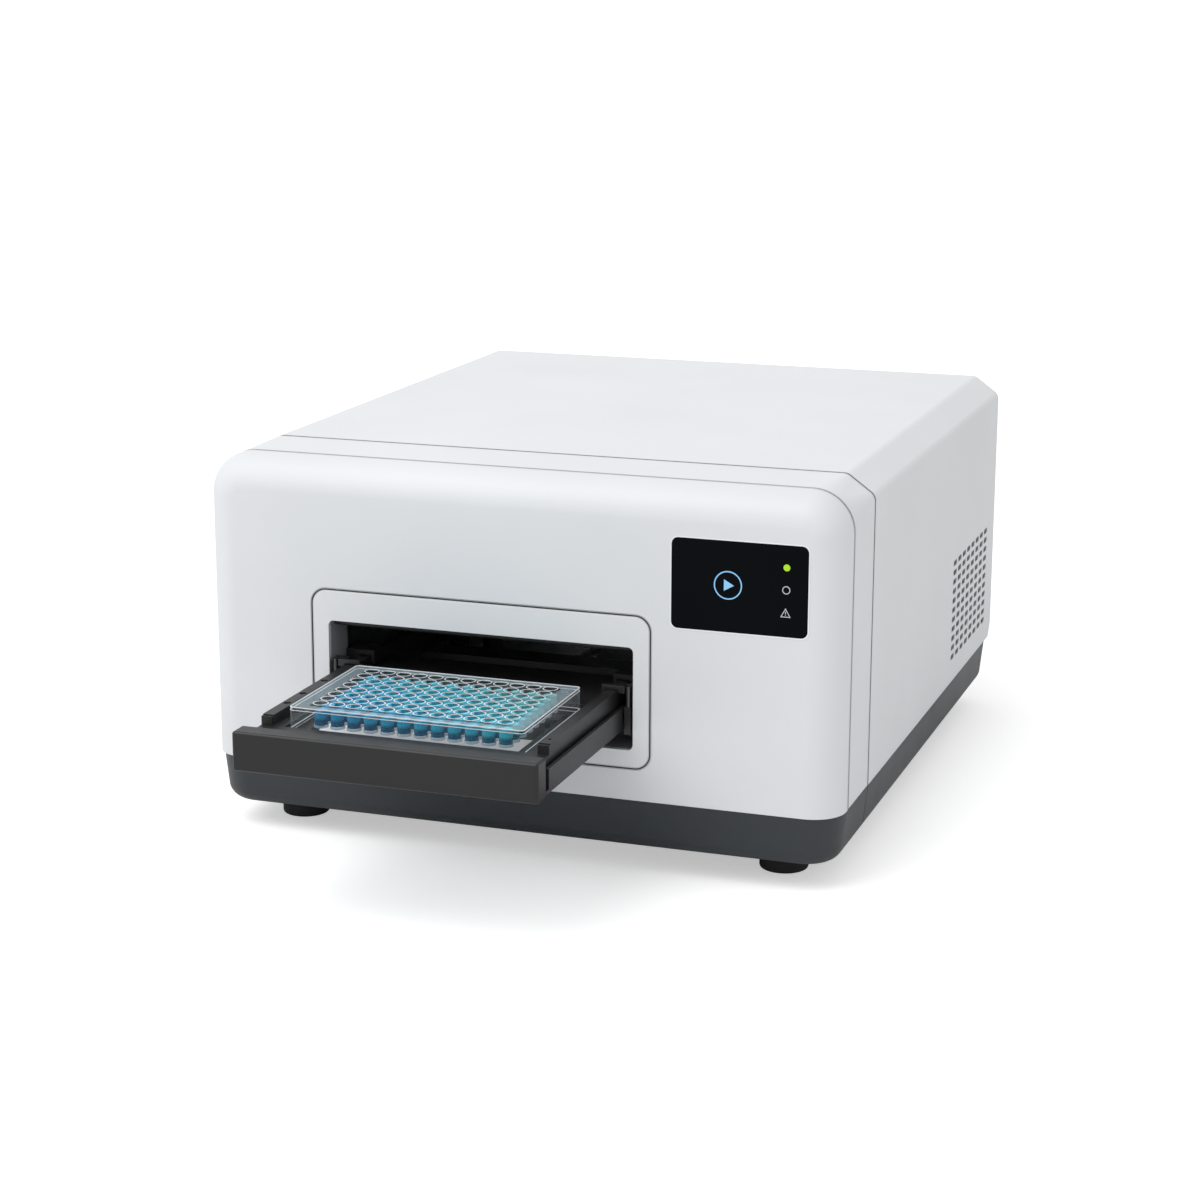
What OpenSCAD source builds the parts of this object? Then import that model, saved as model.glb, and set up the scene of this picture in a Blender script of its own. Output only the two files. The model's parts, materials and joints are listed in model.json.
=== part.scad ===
// Benchtop microplate reader: moulded housing on a slate base, motorised plate drawer,
// scanning optics over and under the plate, touch display and rear services.
// Origin: on the bench, at the middle of the footprint with the drawer out.
// +X to the user's right, +Y from front to back, +Z up. Millimetres.

/* [Housing] */
// Width of the housing
body_w = 353; // [340:1:380]
// Depth of the housing
body_d = 400; // [390:1:440]
// Height of the white cover above the base
cover_h = 167; // [160:1:190]
// Wall of the moulded covers
wall_t = 3; // [2.4:0.1:3.6]
// Depth of the front panel, back to its seam
panel_d = 22; // [20:0.5:26]
// Depth of the ring between the front panel and the main cover
ring_d = 44; // [36:1:50]
// Corner radius of the front panel, seen from the front
panel_r = 22; // [20:0.5:22]
// Softness of the front panel's edge
edge_r = 18; // [14:0.5:19]
// Width of the main cover's top chamfer
chamfer_w = 17; // [12:0.5:19]
// Height of the main cover's top chamfer
chamfer_h = 14; // [10:0.5:17]
// Blend radius at the chamfer's edges
chamfer_blend = 6; // [4:0.5:8]
// Gap at the seams between covers
seam_gap = 0.6; // [0.4:0.1:1]
// Thickness of the tongue behind a seam
tongue_t = 1.6; // [1.2:0.1:2]
// Reach of the tongue past its seam
tongue_reach = 6; // [4:0.5:8]

/* [Base] */
// Height of the base tub
base_h = 27.5; // [25:0.5:32]
// Corner radius of the base at the front
base_r = 22; // [18:0.5:26]
// Corner radius of the base at the back
base_rear_r = 14; // [12:0.5:18]
// Fillet along the base's lower edge
base_fillet = 9; // [6:0.5:10]
// Draft of the base's wall, from top to bottom
base_draft = 2; // [1:0.25:3]
// Height of a rubber foot
foot_h = 13.5; // [10:0.5:16]
// Radius of a rubber foot
foot_r = 13; // [11:0.5:14]
// Inset of a foot's axis from the side of the base
foot_inset_x = 38; // [32:1:44]
// Inset of a foot's axis from the front and back of the base
foot_inset_y = 40; // [36:1:48]
// Radius of a foot's screw shank
foot_screw_r = 2; // [1.5:0.25:2.5]
// Thickness of the steel chassis plate
chassis_t = 2; // [1.5:0.25:3]

/* [Vents] */
// Rows of side vent slots
vent_rows = 11; // [6:1:12]
// Columns of side vent slots
vent_cols = 8; // [5:1:8]
// Spacing of the rows
vent_pitch_z = 5.8; // [5.4:0.1:6.4]
// Spacing of the columns
vent_pitch_y = 13.2; // [12.4:0.1:13.4]
// Length of one slot
vent_len = 9.6; // [7:0.1:10.4]
// Height of one slot
vent_slot_h = 3.2; // [2.4:0.1:3.6]
// Height of the lowest row above the base
vent_low = 15.5; // [12:0.5:20]
// Distance of the last column's centre from the back
vent_back = 27; // [24:0.5:40]

/* [Door opening] */
// Width of the drawer opening
open_w = 171; // [170:0.5:176]
// Height of the drawer opening
open_h = 55; // [52:0.5:58]
// Height of the opening's lower edge above the base
open_low = 26.8; // [25:0.2:27.6]
// Offset of the drawer's centre line from the housing's centre
bay_x = -18.2; // [-20:0.1:-16]
// Width of the trim beside the opening
trim_side = 9; // [7:0.5:11]
// Width of the trim below the opening
trim_low = 9.4; // [7:0.2:11]
// Width of the trim above the opening
trim_top = 16.6; // [12:0.2:18]
// Outer corner radius of the trim
trim_r = 8; // [6:0.5:10]
// Corner radius of the opening
open_r = 3; // [2:0.5:5]
// Depth of the sleeve behind the trim
liner_d = 24; // [22:0.5:25]
// Wall of the sleeve
liner_t = 2; // [1.5:0.25:2.5]
// Length of the light flap, from its hinge to its free edge
flap_len = 17; // [14:0.5:17.5]
// Thickness of the light flap
flap_t = 1.8; // [1.5:0.1:2]
// Radius of the flap's hinge pins
flap_pin_r = 1.2; // [1:0.1:1.4]

/* [Display] */
// Width of the display glass
glass_w = 71.4; // [60:0.2:74]
// Height of the display glass
glass_h = 47.2; // [40:0.2:50]
// Thickness of the display glass
glass_t = 1.5; // [1.2:0.1:1.8]
// Corner radius of the display glass
glass_r = 3.5; // [2:0.5:6]
// Centre of the glass from the housing's centre
glass_x = 123.2; // [119:0.2:125]
// Centre of the glass above the base
glass_z = 118.1; // [112:0.1:122]

/* [Drawer] */
// How far the drawer's face stands out of the front
drawer_out = 126; // [124:0.5:130]
// Travel of the drawer
drawer_travel = 125; // [110:0.5:125]
// Width of the drawer front
drawer_w = 160.6; // [159:0.2:162]
// How far the drawer front reaches past its side channels
bar_over = 0.3; // [0.1:0.1:0.4]
// Height of the drawer front
drawer_h = 20.4; // [19:0.2:21]
// Thickness of the drawer front
drawer_t = 12; // [10:0.5:13]
// Gap between the opening's lower edge and the drawer front
drawer_low = 9.2; // [8:0.2:10]
// Edge rounding of the drawer front
drawer_soft = 1.6; // [1:0.2:2.5]
// Wall of the drawer's side channels
channel_t = 2; // [1.5:0.25:2.5]
// Height of a side channel's outer wall
channel_h = 12; // [10:0.5:13]
// Width of the raised runner in a side channel
runner_w = 6; // [5:0.25:6.5]
// Groove between a runner and the outer wall of its channel
groove_w = 1.5; // [1:0.25:3]
// Height of the raised runner above the channel's underside
runner_h = 20.8; // [19:0.2:21.4]
// Reach of the side channels behind the housing's front
channel_reach = 110; // [105:1:115]
// Sliding clearance between drawer and guides
slide_gap = 0.4; // [0.3:0.05:0.6]

/* [Plate] */
// Length of the microplate's footprint
plate_l = 127.76; // [127.26:0.01:128.26]
// Width of the microplate's footprint
plate_w = 85.48; // [84.98:0.01:85.98]
// Height of the microplate
plate_h = 14.35; // [14.1:0.01:14.6]
// Columns of wells
well_cols = 12; // [6:1:12]
// Rows of wells
well_rows = 8; // [4:1:8]
// Spacing of the wells
well_pitch = 9; // [8.9:0.01:9.05]
// Radius of a well
well_r = 3.4; // [3:0.05:3.5]
// Wall of a well
well_wall = 0.7; // [0.5:0.05:0.8]
// Depth of a well
well_depth = 10.8; // [9.6:0.1:11.2]
// Filled depth of a well
fill_depth = 7; // [3:0.5:8]
// Clearance round the plate in its nest
nest_gap = 0.5; // [0.3:0.05:0.8]
// Depth of the nest
nest_depth = 4; // [3:0.25:5]
// Distance from the drawer front to the nest
nest_front = 14.5; // [13:0.5:16]

/* [Mechanism] */
// Radius of the drawer's lead screw
screw_r = 4; // [3:0.25:4.5]
// Radius of the optics' upper rods
rod_r = 3; // [2.5:0.25:3.5]
// Radius of the optics' lower rods
low_rod_r = 2.5; // [2:0.25:3]
// Radial running clearance of shafts in their holes
run_gap = 0.08; // [0.05:0.01:0.1]
// Radius of the filter wheel
wheel_r = 30; // [28:0.5:31]
// Thickness of the filter wheel
wheel_t = 4; // [3:0.5:5]
// Number of filters in the wheel
wheel_filters = 8; // [5:1:8]
// Radius of one filter
filter_r = 5; // [4:0.25:5.5]
// Radius of the fan's opening
fan_r = 37; // [34:0.5:38]
// Blades on the fan
fan_blades = 7; // [5:1:9]

/* [Hidden] */
$fn = 48;

// Overlap that makes a cut run clean through a wall
cut = 1;

// Heights of the main levels above the bench
base_z = foot_h;
seam_z = base_z + base_h;
roof_z = seam_z + cover_h;

// The front face's plane, set so that the origin is mid-way from drawer to back
front_y = (drawer_out - body_d) / 2;
ring_y = front_y + panel_d;
cover_y = ring_y + ring_d;
back_y = front_y + body_d;
half_w = body_w / 2;

// Rear panel's recess, which the base's rear wall lines up with
rear_t = 2;
rear_recess = 6;
rear_face_y = back_y - rear_recess;
rear_y = rear_face_y - rear_t;
rear_gap = 0.4;
rear_clip_h = 8;

// Foot and boss places
foot_x = half_w - foot_inset_x;
foot_front_y = front_y + foot_inset_y;
foot_back_y = back_y - foot_inset_y;
foot_places = [for (x = [-foot_x, foot_x], y = [foot_front_y, foot_back_y]) [x, y]];
foot_lip = 1.5;
foot_socket_r = 5;
foot_socket_h = 4;
foot_head_r = 3.6;
foot_head_h = 2.4;
screw_gap = 0.2;
boss_r = 7;
boss_bore_h = 12;

// Chassis plate, on the base's bosses
chassis_z = seam_z - 1;
chassis_inset = 7;
deck_z = chassis_z + chassis_t;

// Drawer bay in width: the channels and the rails follow the drawer
channel_x = drawer_w / 2 - bar_over;
groove_x = channel_x - channel_t - groove_w;
runner_x = groove_x - runner_w;
rail_x = drawer_w / 2 + slide_gap;
rail_t = 3.5;
open_left = bay_x - open_w / 2;
trim_w = open_w + 2 * trim_side;

// Drawer bay in height
open_z = seam_z + open_low;
open_top = open_z + open_h;
trim_z = open_z - trim_low;
trim_h = open_h + trim_low + trim_top;
flange = 5;
flange_t = 1.6;
drawer_z = open_z + drawer_low;
channel_lift = 1.3;
channel_z = drawer_z + channel_lift;
runner_top = channel_z + runner_h;
nest_rise = 13;
nest_z = drawer_z + nest_rise;
carrier_t = 3;
carrier_top = nest_z + nest_depth;

// Drawer in depth, drawn out
drawer_proud = drawer_out - drawer_travel;
drawer_face_y = front_y - drawer_out;
drawer_back_y = drawer_face_y + drawer_t;
channel_back_y = front_y + channel_reach;
channel_step = 4;
channel_wall_t = 2;
nest_y = drawer_back_y + nest_front;
nest_front_wall = 1.4;
runner_y = nest_y + nest_front_wall;
carrier_back_y = front_y + 45;
window_margin = 8;
crossbar_w = 20;
crossbar_h = 6;
crossbar_y = channel_back_y - crossbar_w;
cap_t = 2;
cap_lip = 0.6;
recess_r = 2;
recess_t = 0.8;
left_recesses = [21.6, 40.2, 66];
right_recess = 7;
right_recess_r = 1.1;

// Plate clamp, behind the nest
clamp_r = 5;
clamp_len = 16;
clamp_h = 4;
clamp_t = 4;
clamp_nose_r = 2;
clamp_touch_gap = 0.3;
clamp_pin_r = 1.5;
clamp_head_r = 2.7;
clamp_head_t = 0.8;
clamp_x = bay_x + 52;
clamp_y = nest_y + plate_w + 2 * nest_gap + clamp_touch_gap + clamp_r;

// Microplate
skirt_t = 1.2;
skirt_lip_h = 2.4;
skirt_step = 1.3;
deck_t = 1.2;
rim_h = 0.6;
well_floor_t = 1.2;
plate_r = 3.2;
plate_clip = 5;
plate_y = nest_y + nest_gap;
plate_deck_z = nest_z + plate_h - rim_h;
well_floor_z = nest_z + plate_h - well_depth;
liquid_gap = 0.05;

// Gantry's place just behind the sleeve, and its low rods, which the rails' feet clear
optics_d = 36;
optics_y = front_y + liner_d + optics_d / 2;
low_rod_dy = 10;

// Fixed guide rails beside the drawer's channels, with a hook, a block and a pin each
shoe_y = front_y + 0.5;
rail_y0 = shoe_y;
rail_over = 8;
rail_y1 = channel_back_y + drawer_travel + rail_over;
rail_shelf = 5;
rail_shelf_t = 2;
rail_shelf_z = channel_z - slide_gap + 0.1 - rail_shelf_t;
rail_top = channel_z + channel_h + slide_gap;
rail_shelf_y = front_y + drawer_t - drawer_proud + slide_gap;
rail_foot_gap = 2;
rail_foot_y0 = optics_y + low_rod_dy + low_rod_r + rail_foot_gap;
rail_foot_len = 24;
rail_foot_over = 4.9;
rail_foot_w = rail_t + rail_foot_over;
rail_foot_t = 2;
rail_feet = 4;
shoe_len = 7.6;
shoe_lip = 2.2;
hook_len = 3;
hook_low = drawer_z + drawer_h + slide_gap;
block_y = front_y + 20;
block_len = 14;
block_t = 2.8;
block_leg_t = 2;
block_leg_low = carrier_top + 2 * slide_gap;
pin_r = 1.4;
pin_y = shoe_y + pin_r;
pin_gap = 1;
pin_h = runner_top + slide_gap + shoe_lip - rail_top;

// Light flap, folded up under the sleeve's roof
flap_gap = 1.6;
flap_side_gap = 1.2;
flap_y = front_y + 9;
flap_z = open_top - flap_gap - flap_pin_r;
flap_w = open_w - 2 * flap_side_gap;
flap_pin_len = flap_side_gap + liner_t * 0.75;

// Display, behind its window in the front panel
glass_sink = 0.2;
glass_gap = 0.35;
window_lap = 5;
backing_t = 1.5;
backing_lap = 3;
screen_air = 0.1;
post_r = 2;
post_h = 3;
board_t = 1.6;
screen_board_y = front_y + wall_t + backing_t + post_h;

// Tongues behind the seams
tongue_gap_rear = 0.3;
tongue_gap_front = 0.5;
loft_slab = 0.4;

// Drawer drive under the tray
screw_drop = 10.3;
screw_z = channel_z - screw_drop;
nut_l = 14;
nut_r = 9;
nut_block_w = 24;
nut_block_l = 10;
nut_set = 1;
bearing_w = 20;
bearing_t = 8;
coupler_r = 8;
coupler_l = 14;
motor_w = 42.3;
motor_l = 40;
motor_corner_r = 5;
motor_hub_r = 11;
motor_hub_t = 2;
motor_shaft_r = 2.5;
motor_shaft_in = 6;
bracket_t = 3;
bracket_foot = 34;
bracket_foot_t = 2;
bracket_y = channel_back_y + drawer_travel + 15;
screw_y1 = bracket_y - coupler_l - 1;

// Optics: a gantry just behind the sleeve, with its lens over the first row at full travel
lens_y = plate_y + plate_w / 2 - (well_rows - 1) / 2 * well_pitch + drawer_travel;
screw_y0 = optics_y + optics_d / 2 + 14;
frame_t = 3;
frame_gap = 1.4;
frame_half_w = rail_x + rail_foot_w + frame_gap + frame_t;
frame_x0 = bay_x - frame_half_w;
frame_x1 = bay_x + frame_half_w;
frame_top = open_top + 54;
head_w = 40;
head_d = optics_d - 2;
head_z = open_top + 2.4;
head_h = 40;
nose_r = 12;
nose_h = 4;
beam_z = head_z + 24;
beam_r = 5;
beam_clear = 2;
rod_dy = 12;
rod_z = head_z + 33;
low_rod_z = deck_z + 11;
det_w = 26;
det_d = optics_d - 8;
det_z = deck_z + 5;
det_top = channel_z - 9.3;
det_bore = 5;
lens_r = 4;

// Lamp and filter wheel, beside the optics frame
wheel_gap = 4;
wheel_x = frame_x0 - wheel_gap - wheel_t;
wheel_ring_r = wheel_r - filter_r - 2;
wheel_dy = 14;
wheel_y = lens_y + wheel_dy;
wheel_z = beam_z - sqrt(wheel_ring_r * wheel_ring_r - wheel_dy * wheel_dy);
wheel_shaft_r = 2;
wheel_shaft_in = 12;
lamp_plate_t = 3;
lamp_plate_w = 30;
lamp_plate_x = wheel_x - lamp_plate_t - 6;
lamp_air = 8.8;
lamp_l = lamp_plate_x + half_w - wall_t - lamp_air;
lamp_r = 11;
fin_t = 2;
fin_pitch = 5.4;
fin_h = 1.5;
fin_start = 4;
lamp_floor_t = 6;
fmotor_r = 10;
fmotor_l = 24;

// Electronics, between the right-hand rail and the side of the cover
side_x = bay_x + rail_x + rail_foot_w;
supply_air_in = 7.1;
supply_air_out = 11.5;
board_air_in = 9.1;
board_air_out = 9.5;
supply_x = side_x + supply_air_in;
supply_w = half_w - wall_t - supply_air_out - supply_x;
supply_d = 130;
supply_h = 46;
supply_y = back_y - 30 - supply_d;
grille_pitch = 12;
grille_w = 4;
grille_inset = 10;
grille_first = 14;
lid_t = 2;
board_x = side_x + board_air_in;
board_w = half_w - wall_t - board_air_out - board_x;
board_y = cover_y;
board_d = supply_y - 24 - board_y;
standoff_h = 8;
standoff_r = 3;
standoff_in = 6;
chip_w = 30;
chip_x = 20;
chip_y = 50;
chip_t = 3;
choke_w = 16;
choke_in = 10;
choke_y = 20;
choke_d = 22;
choke_h = 10;
header_d = 12;
header_back = 40;
header_h = 12;
caps = 3;
cap_r = 6;
cap_in = 22;
cap_y = 62;
cap_pitch = 16;
cap_h = 16;
part_gap = 8;

// Services on the rear panel
sill_t = 1.6;
sill_d = 12;
sill_inset = 30;
service_x = half_w - 64.5;
inlet_z = seam_z + 32;
inlet_w = 48;
inlet_h = 27.5;
inlet_r = 3;
inlet_flange_t = 2.5;
inlet_body_w = 27.2;
inlet_body_h = 20;
inlet_d = 22;
inlet_set = 2;
inlet_wall = 1.6;
inlet_floor_t = 3;
inlet_cavity_h = 16.6;
inlet_screw_x = 20;
inlet_screw_r = 1.6;
prong_pitch = 7;
prong_l = 13;
prong_h = 4;
prong_w = 2;
switch_x = service_x - 46;
switch_w = 13;
switch_h = 19.5;
switch_frame_t = 2;
switch_lap_x = 1;
switch_lap_z = 1.5;
switch_d = 14;
switch_floor_t = 3;
rocker_pin_wall = 0.35;
switch_wall = 1.2;
rocker_pin_r = 1;
rocker_sink = 0.5;
rocker_r = 9;
rocker_side_gap = 0.3;
rocker_pin_end = 0.1;
rocker_tilt = 8;
rocker_d = 5;
port_x = switch_x - 58;
port_pitch = 26;
port_w = 16;
port_h = 13;
port_d = 14;
port_wall = 2;
port_floor_t = 3;
port_proud = 0.6;
rear_screw_x = half_w - wall_t - 8;
rear_screw_low = seam_z + 14;
rear_screw_high = roof_z - chamfer_h - 24;
rear_screw_places = [for (s = [-1, 1], z = [rear_screw_low, rear_screw_high]) [s * rear_screw_x, z]];
rear_screw_r = 1.45;
rear_screw_l = 10;
rear_head_r = 3;
rear_head_t = 2;
lug_len = 18;
lug_r = 5;
lug_wall = 4;

// Fan
fan_x = bay_x - 43.8;
fan_z = seam_z + 78;
fan_w = 80;
fan_d = 25;
fan_hub_r = 14;
fan_base_t = 3;
fan_shaft_r = 2;
strut_w = 3;
stator_r = 9;
stator_l = 13;
rotor_gap = 0.6;
rotor_l = 17;
cup_t = 2;
blade_t = 2;
blade_w = 20;
blade_pitch = 35;
blade_gap = 1.5;
guard_wire = 1.6;
guard_rings = 5;
guard_hole_r = 8;
guard_bar_w = 2;
guard_over = 2.6;
guard_bar_t = 1.2;
guard_foot_r = 3.5;
guard_foot_in = 4.5;

// A rectangle with round corners, from its lower left corner
module round_rect(w, h, r) {
    translate([r, 0]) square([w - 2 * r, h]);
    translate([0, r]) square([w, h - 2 * r]);
    for (x = [r, w - r], y = [r, h - r])
        translate([x, y]) circle(r);
}

// A plate in the XZ plane, with its front at y and its thickness towards +Y
module upright(y, t) {
    translate([0, y + t, 0]) rotate([90, 0, 0]) linear_extrude(t) children();
}

// A rod along X
module rod_x(x0, x1, y, z, r) {
    translate([x0, y, z]) rotate([0, 90, 0]) cylinder(r = r, h = x1 - x0);
}

// A rod along Y
module rod_y(x, y0, y1, z, r) {
    translate([x, y0, z]) rotate([-90, 0, 0]) cylinder(r = r, h = y1 - y0);
}

// The cover's cross-section: flat roof, chamfered shoulders, straight sides, open below
module cover_outline(inset = 0, low = 0) {
    b = max(chamfer_blend - inset, 1);
    x = half_w - inset;
    z = roof_z - inset;
    hull() {
        for (s = [-1, 1]) {
            translate([s * (x - chamfer_w), z - b]) circle(b);
            translate([s * (x - b), z - chamfer_h]) circle(b);
            translate([s * x - (s + 1) / 2, seam_z - low]) square(1);
        }
    }
}

// The front panel's outline, with quarter-round shoulders
module panel_outline(inset = 0) {
    r = panel_r - inset;
    translate([-half_w + inset, seam_z]) square([body_w - 2 * inset, cover_h - panel_r]);
    translate([-half_w + panel_r, seam_z]) square([body_w - 2 * panel_r, cover_h - inset]);
    for (s = [-1, 1])
        translate([s * (half_w - panel_r), roof_z - panel_r]) circle(r);
}

// The rolled edge of the front panel in section: x outwards, y back from the face
module roll_section(inset = 0) {
    r = edge_r - inset;
    translate([0, inset]) square([panel_r - edge_r, panel_d - inset]);
    translate([0, edge_r]) square([panel_r - inset, panel_d - edge_r]);
    translate([panel_r - edge_r, edge_r]) circle(r);
}

// Wall left between the rolled section and its inside
module roll_wall() {
    difference() {
        intersection() {
            roll_section();
            square([panel_r, panel_d]);
        }
        intersection() {
            roll_section(wall_t);
            square([panel_r, panel_d + cut]);
        }
        translate([-cut, panel_d - cut / 2]) square([panel_r - wall_t + cut, cut]);
    }
}

// The section swept up one side, over the top and down the other
module roll_sweep() {
    x = half_w - panel_r;
    z = roof_z - panel_r;
    for (m = [0, 1]) mirror([m, 0, 0]) {
        translate([x, front_y, seam_z]) linear_extrude(z - seam_z) roll_wall();
        translate([x, front_y, z]) rotate([-90, 0, 0]) rotate([0, 0, -90])
            rotate_extrude(angle = 90) roll_wall();
    }
    translate([x, front_y, z]) rotate([0, -90, 0]) linear_extrude(2 * x) roll_wall();
}

// Outline of the trim that frames the opening, grown by a gap
module trim_outline(gap = 0) {
    translate([bay_x - trim_w / 2 - gap, trim_z - gap])
        round_rect(trim_w + 2 * gap, trim_h + 2 * gap, trim_r + gap);
}

// Outline of the opening, grown by a wall
module open_outline(grow = 0) {
    translate([open_left - grow, open_z - grow])
        round_rect(open_w + 2 * grow, open_h + 2 * grow, open_r + grow);
}

// Outline of the display glass, grown by a gap
module glass_outline(gap = 0) {
    translate([glass_x - glass_w / 2 - gap, seam_z + glass_z - glass_h / 2 - gap])
        round_rect(glass_w + 2 * gap, glass_h + 2 * gap, max(glass_r + gap, 1));
}

module front_panel() {
    x = half_w - panel_r;
    color("whitesmoke") difference() {
        union() {
            roll_sweep();
            translate([-x, front_y, seam_z]) cube([2 * x, wall_t, cover_h - panel_r]);
            upright(front_y + wall_t, backing_t) glass_outline(backing_lap);
            for (s = [-1, 1], t = [-1, 1])
                rod_y(glass_x + s * (glass_w / 2 - post_r), front_y + wall_t, screen_board_y,
                    seam_z + glass_z + t * (glass_h / 2 - post_r), post_r);
        }
        upright(front_y - cut, wall_t + 2 * cut) trim_outline(seam_gap);
        upright(front_y - cut, glass_t + cut + glass_sink) glass_outline(glass_gap);
        upright(front_y - cut, wall_t + backing_t + 2 * cut) glass_outline(-window_lap);
    }
}

module door_trim() {
    color("whitesmoke") difference() {
        upright(front_y, wall_t) trim_outline();
        upright(front_y - cut, wall_t + 2 * cut) open_outline();
    }
}

// Sleeve round the opening; its flange closes the groove round the trim from behind
module opening_liner() {
    color("dimgray") difference() {
        union() {
            upright(front_y + wall_t, liner_d - wall_t) open_outline(liner_t);
            upright(front_y + wall_t, flange_t) trim_outline(flange);
        }
        upright(front_y, liner_d + cut) open_outline();
        rod_x(open_left - liner_t - cut, open_left + open_w + liner_t + cut,
            flap_y, flap_z, flap_pin_r + run_gap);
    }
}

// Flap that swings down behind the opening when the drawer is in
module light_flap() {
    color("black") {
        translate([bay_x - flap_w / 2, flap_y, flap_z - flap_t / 2])
            cube([flap_w, flap_len, flap_t]);
        rod_x(bay_x - flap_w / 2, bay_x + flap_w / 2, flap_y, flap_z, flap_pin_r + 0.3);
        rod_x(bay_x - flap_w / 2 - flap_pin_len, bay_x + flap_w / 2 + flap_pin_len,
            flap_y, flap_z, flap_pin_r);
    }
}

module display_glass() {
    color("black") upright(front_y + glass_sink, glass_t) glass_outline();
}

// Touch panel's module: circuit board with the screen unit on its face
module display_board() {
    screen_y = front_y + glass_sink + glass_t + screen_air;
    color("darkgreen") {
        upright(screen_board_y, board_t) glass_outline(1);
        upright(screen_y, screen_board_y - screen_y) glass_outline(-window_lap - 1);
    }
}

// Ring between the seams: a round-shouldered front edge lofted to the chamfered back edge
module bezel_ring() {
    y0 = ring_y + seam_gap;
    y1 = cover_y - seam_gap;
    color("whitesmoke") difference() {
        union() {
            hull() {
                upright(y0, loft_slab) panel_outline();
                upright(y1 - loft_slab, loft_slab) cover_outline();
            }
            upright(y1 - cut, tongue_reach + seam_gap + cut) cover_outline(wall_t + tongue_gap_rear);
            upright(y0 - tongue_reach, tongue_reach + cut) panel_outline(wall_t + tongue_gap_front);
        }
        upright(y0 - tongue_reach - cut, y1 - y0 + 2 * tongue_reach + 4 * cut)
            cover_outline(wall_t + tongue_gap_front + tongue_t, cut);
    }
}

module vent_slots() {
    r = vent_slot_h / 2;
    y0 = back_y - vent_back - (vent_cols - 1) * vent_pitch_y;
    z0 = seam_z + vent_low;
    for (i = [0 : vent_cols - 1], j = [0 : vent_rows - 1])
        translate([half_w - wall_t - cut, y0 + i * vent_pitch_y, z0 + j * vent_pitch_z])
            rotate([0, 90, 0]) linear_extrude(wall_t + 2 * cut) {
                translate([-r, -vent_len / 2 + r]) square([2 * r, vent_len - 2 * r]);
                for (s = [-1, 1])
                    translate([0, s * (vent_len / 2 - r)]) circle(r);
            }
}

// Slanted cut at the cover's lower rear corner, down to the base's rear wall
module rear_clip() {
    translate([-half_w - cut, 0, 0]) rotate([90, 0, 90]) linear_extrude(body_w + 2 * cut)
        polygon([[rear_face_y, seam_z - cut], [rear_face_y, seam_z], [back_y, seam_z + rear_clip_h],
            [back_y + cut, seam_z + rear_clip_h], [back_y + cut, seam_z - cut]]);
}

module main_cover() {
    color("whitesmoke") {
        difference() {
            upright(cover_y, back_y - cover_y) cover_outline();
            upright(cover_y - cut, back_y - cover_y + 2 * cut) cover_outline(wall_t, cut);
            vent_slots();
            rear_clip();
        }
        rear_lugs();
    }
}

// Outline of the base's wall section, drawn in by a wall
module base_profile(r, inset, top) {
    x = r - base_draft - inset;
    polygon([[0, inset], [r - base_draft - base_fillet, inset], [x, base_fillet],
        [r - inset, base_h + top], [0, base_h + top]]);
    translate([r - base_draft - base_fillet, base_fillet]) circle(base_fillet - inset);
}

// Base wall in section: x outwards from the corner's axis, y up from the base's underside
module base_section(r) {
    intersection() {
        difference() {
            base_profile(r, 0, 0);
            base_profile(r, wall_t, cut);
        }
        square([r, base_h]);
    }
}

// One end of the base: a straight wall along X and its two corners
module base_end(r) {
    x = half_w - r;
    translate([-x, r, 0]) rotate([90, 0, 90]) linear_extrude(2 * x)
        mirror([1, 0]) base_section(r);
    for (m = [0, 1]) mirror([m, 0, 0]) {
        translate([x, r, 0]) rotate([0, 0, -90]) rotate_extrude(angle = 90)
            base_section(r);
    }
}

// The two side walls of the base, between depths y0 and y1
module base_sides(r, y0, y1) {
    for (m = [0, 1]) mirror([m, 0, 0])
        translate([half_w - r, y1, 0]) rotate([90, 0, 0]) linear_extrude(y1 - y0)
            base_section(r);
}

module base_front() {
    y1 = cover_y - seam_gap / 2;
    color("darkslategray") {
        translate([0, front_y, base_z]) base_end(base_r);
        translate([0, 0, base_z]) base_sides(base_r, front_y + base_r, y1);
        difference() {
            translate([-half_w + base_r, front_y + base_r, base_z])
                cube([body_w - 2 * base_r, y1 - front_y - base_r, wall_t]);
            foot_screw_holes();
        }
        foot_bosses(foot_front_y);
    }
}

module base_tub() {
    y0 = cover_y + seam_gap / 2;
    color("darkslategray") {
        translate([0, rear_face_y, base_z]) mirror([0, 1, 0]) base_end(base_rear_r);
        translate([0, 0, base_z]) base_sides(base_rear_r, y0, rear_face_y - base_rear_r);
        difference() {
            translate([-half_w + base_rear_r, y0, base_z])
                cube([body_w - 2 * base_rear_r, rear_face_y - base_rear_r - y0, wall_t]);
            foot_screw_holes();
        }
        foot_bosses(foot_back_y);
    }
}

module foot_screw_holes() {
    for (p = foot_places)
        translate([p[0], p[1], base_z - cut]) cylinder(r = foot_screw_r + screw_gap, h = wall_t + 2 * cut);
}

// Hollow posts over the feet, which also carry the chassis plate
module foot_bosses(y) {
    for (x = [-foot_x, foot_x])
        translate([x, y, base_z + wall_t]) difference() {
            cylinder(r = boss_r, h = chassis_z - base_z - wall_t);
            translate([0, 0, -cut]) cylinder(r = foot_screw_r + screw_gap, h = boss_bore_h + cut);
        }
}

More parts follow.
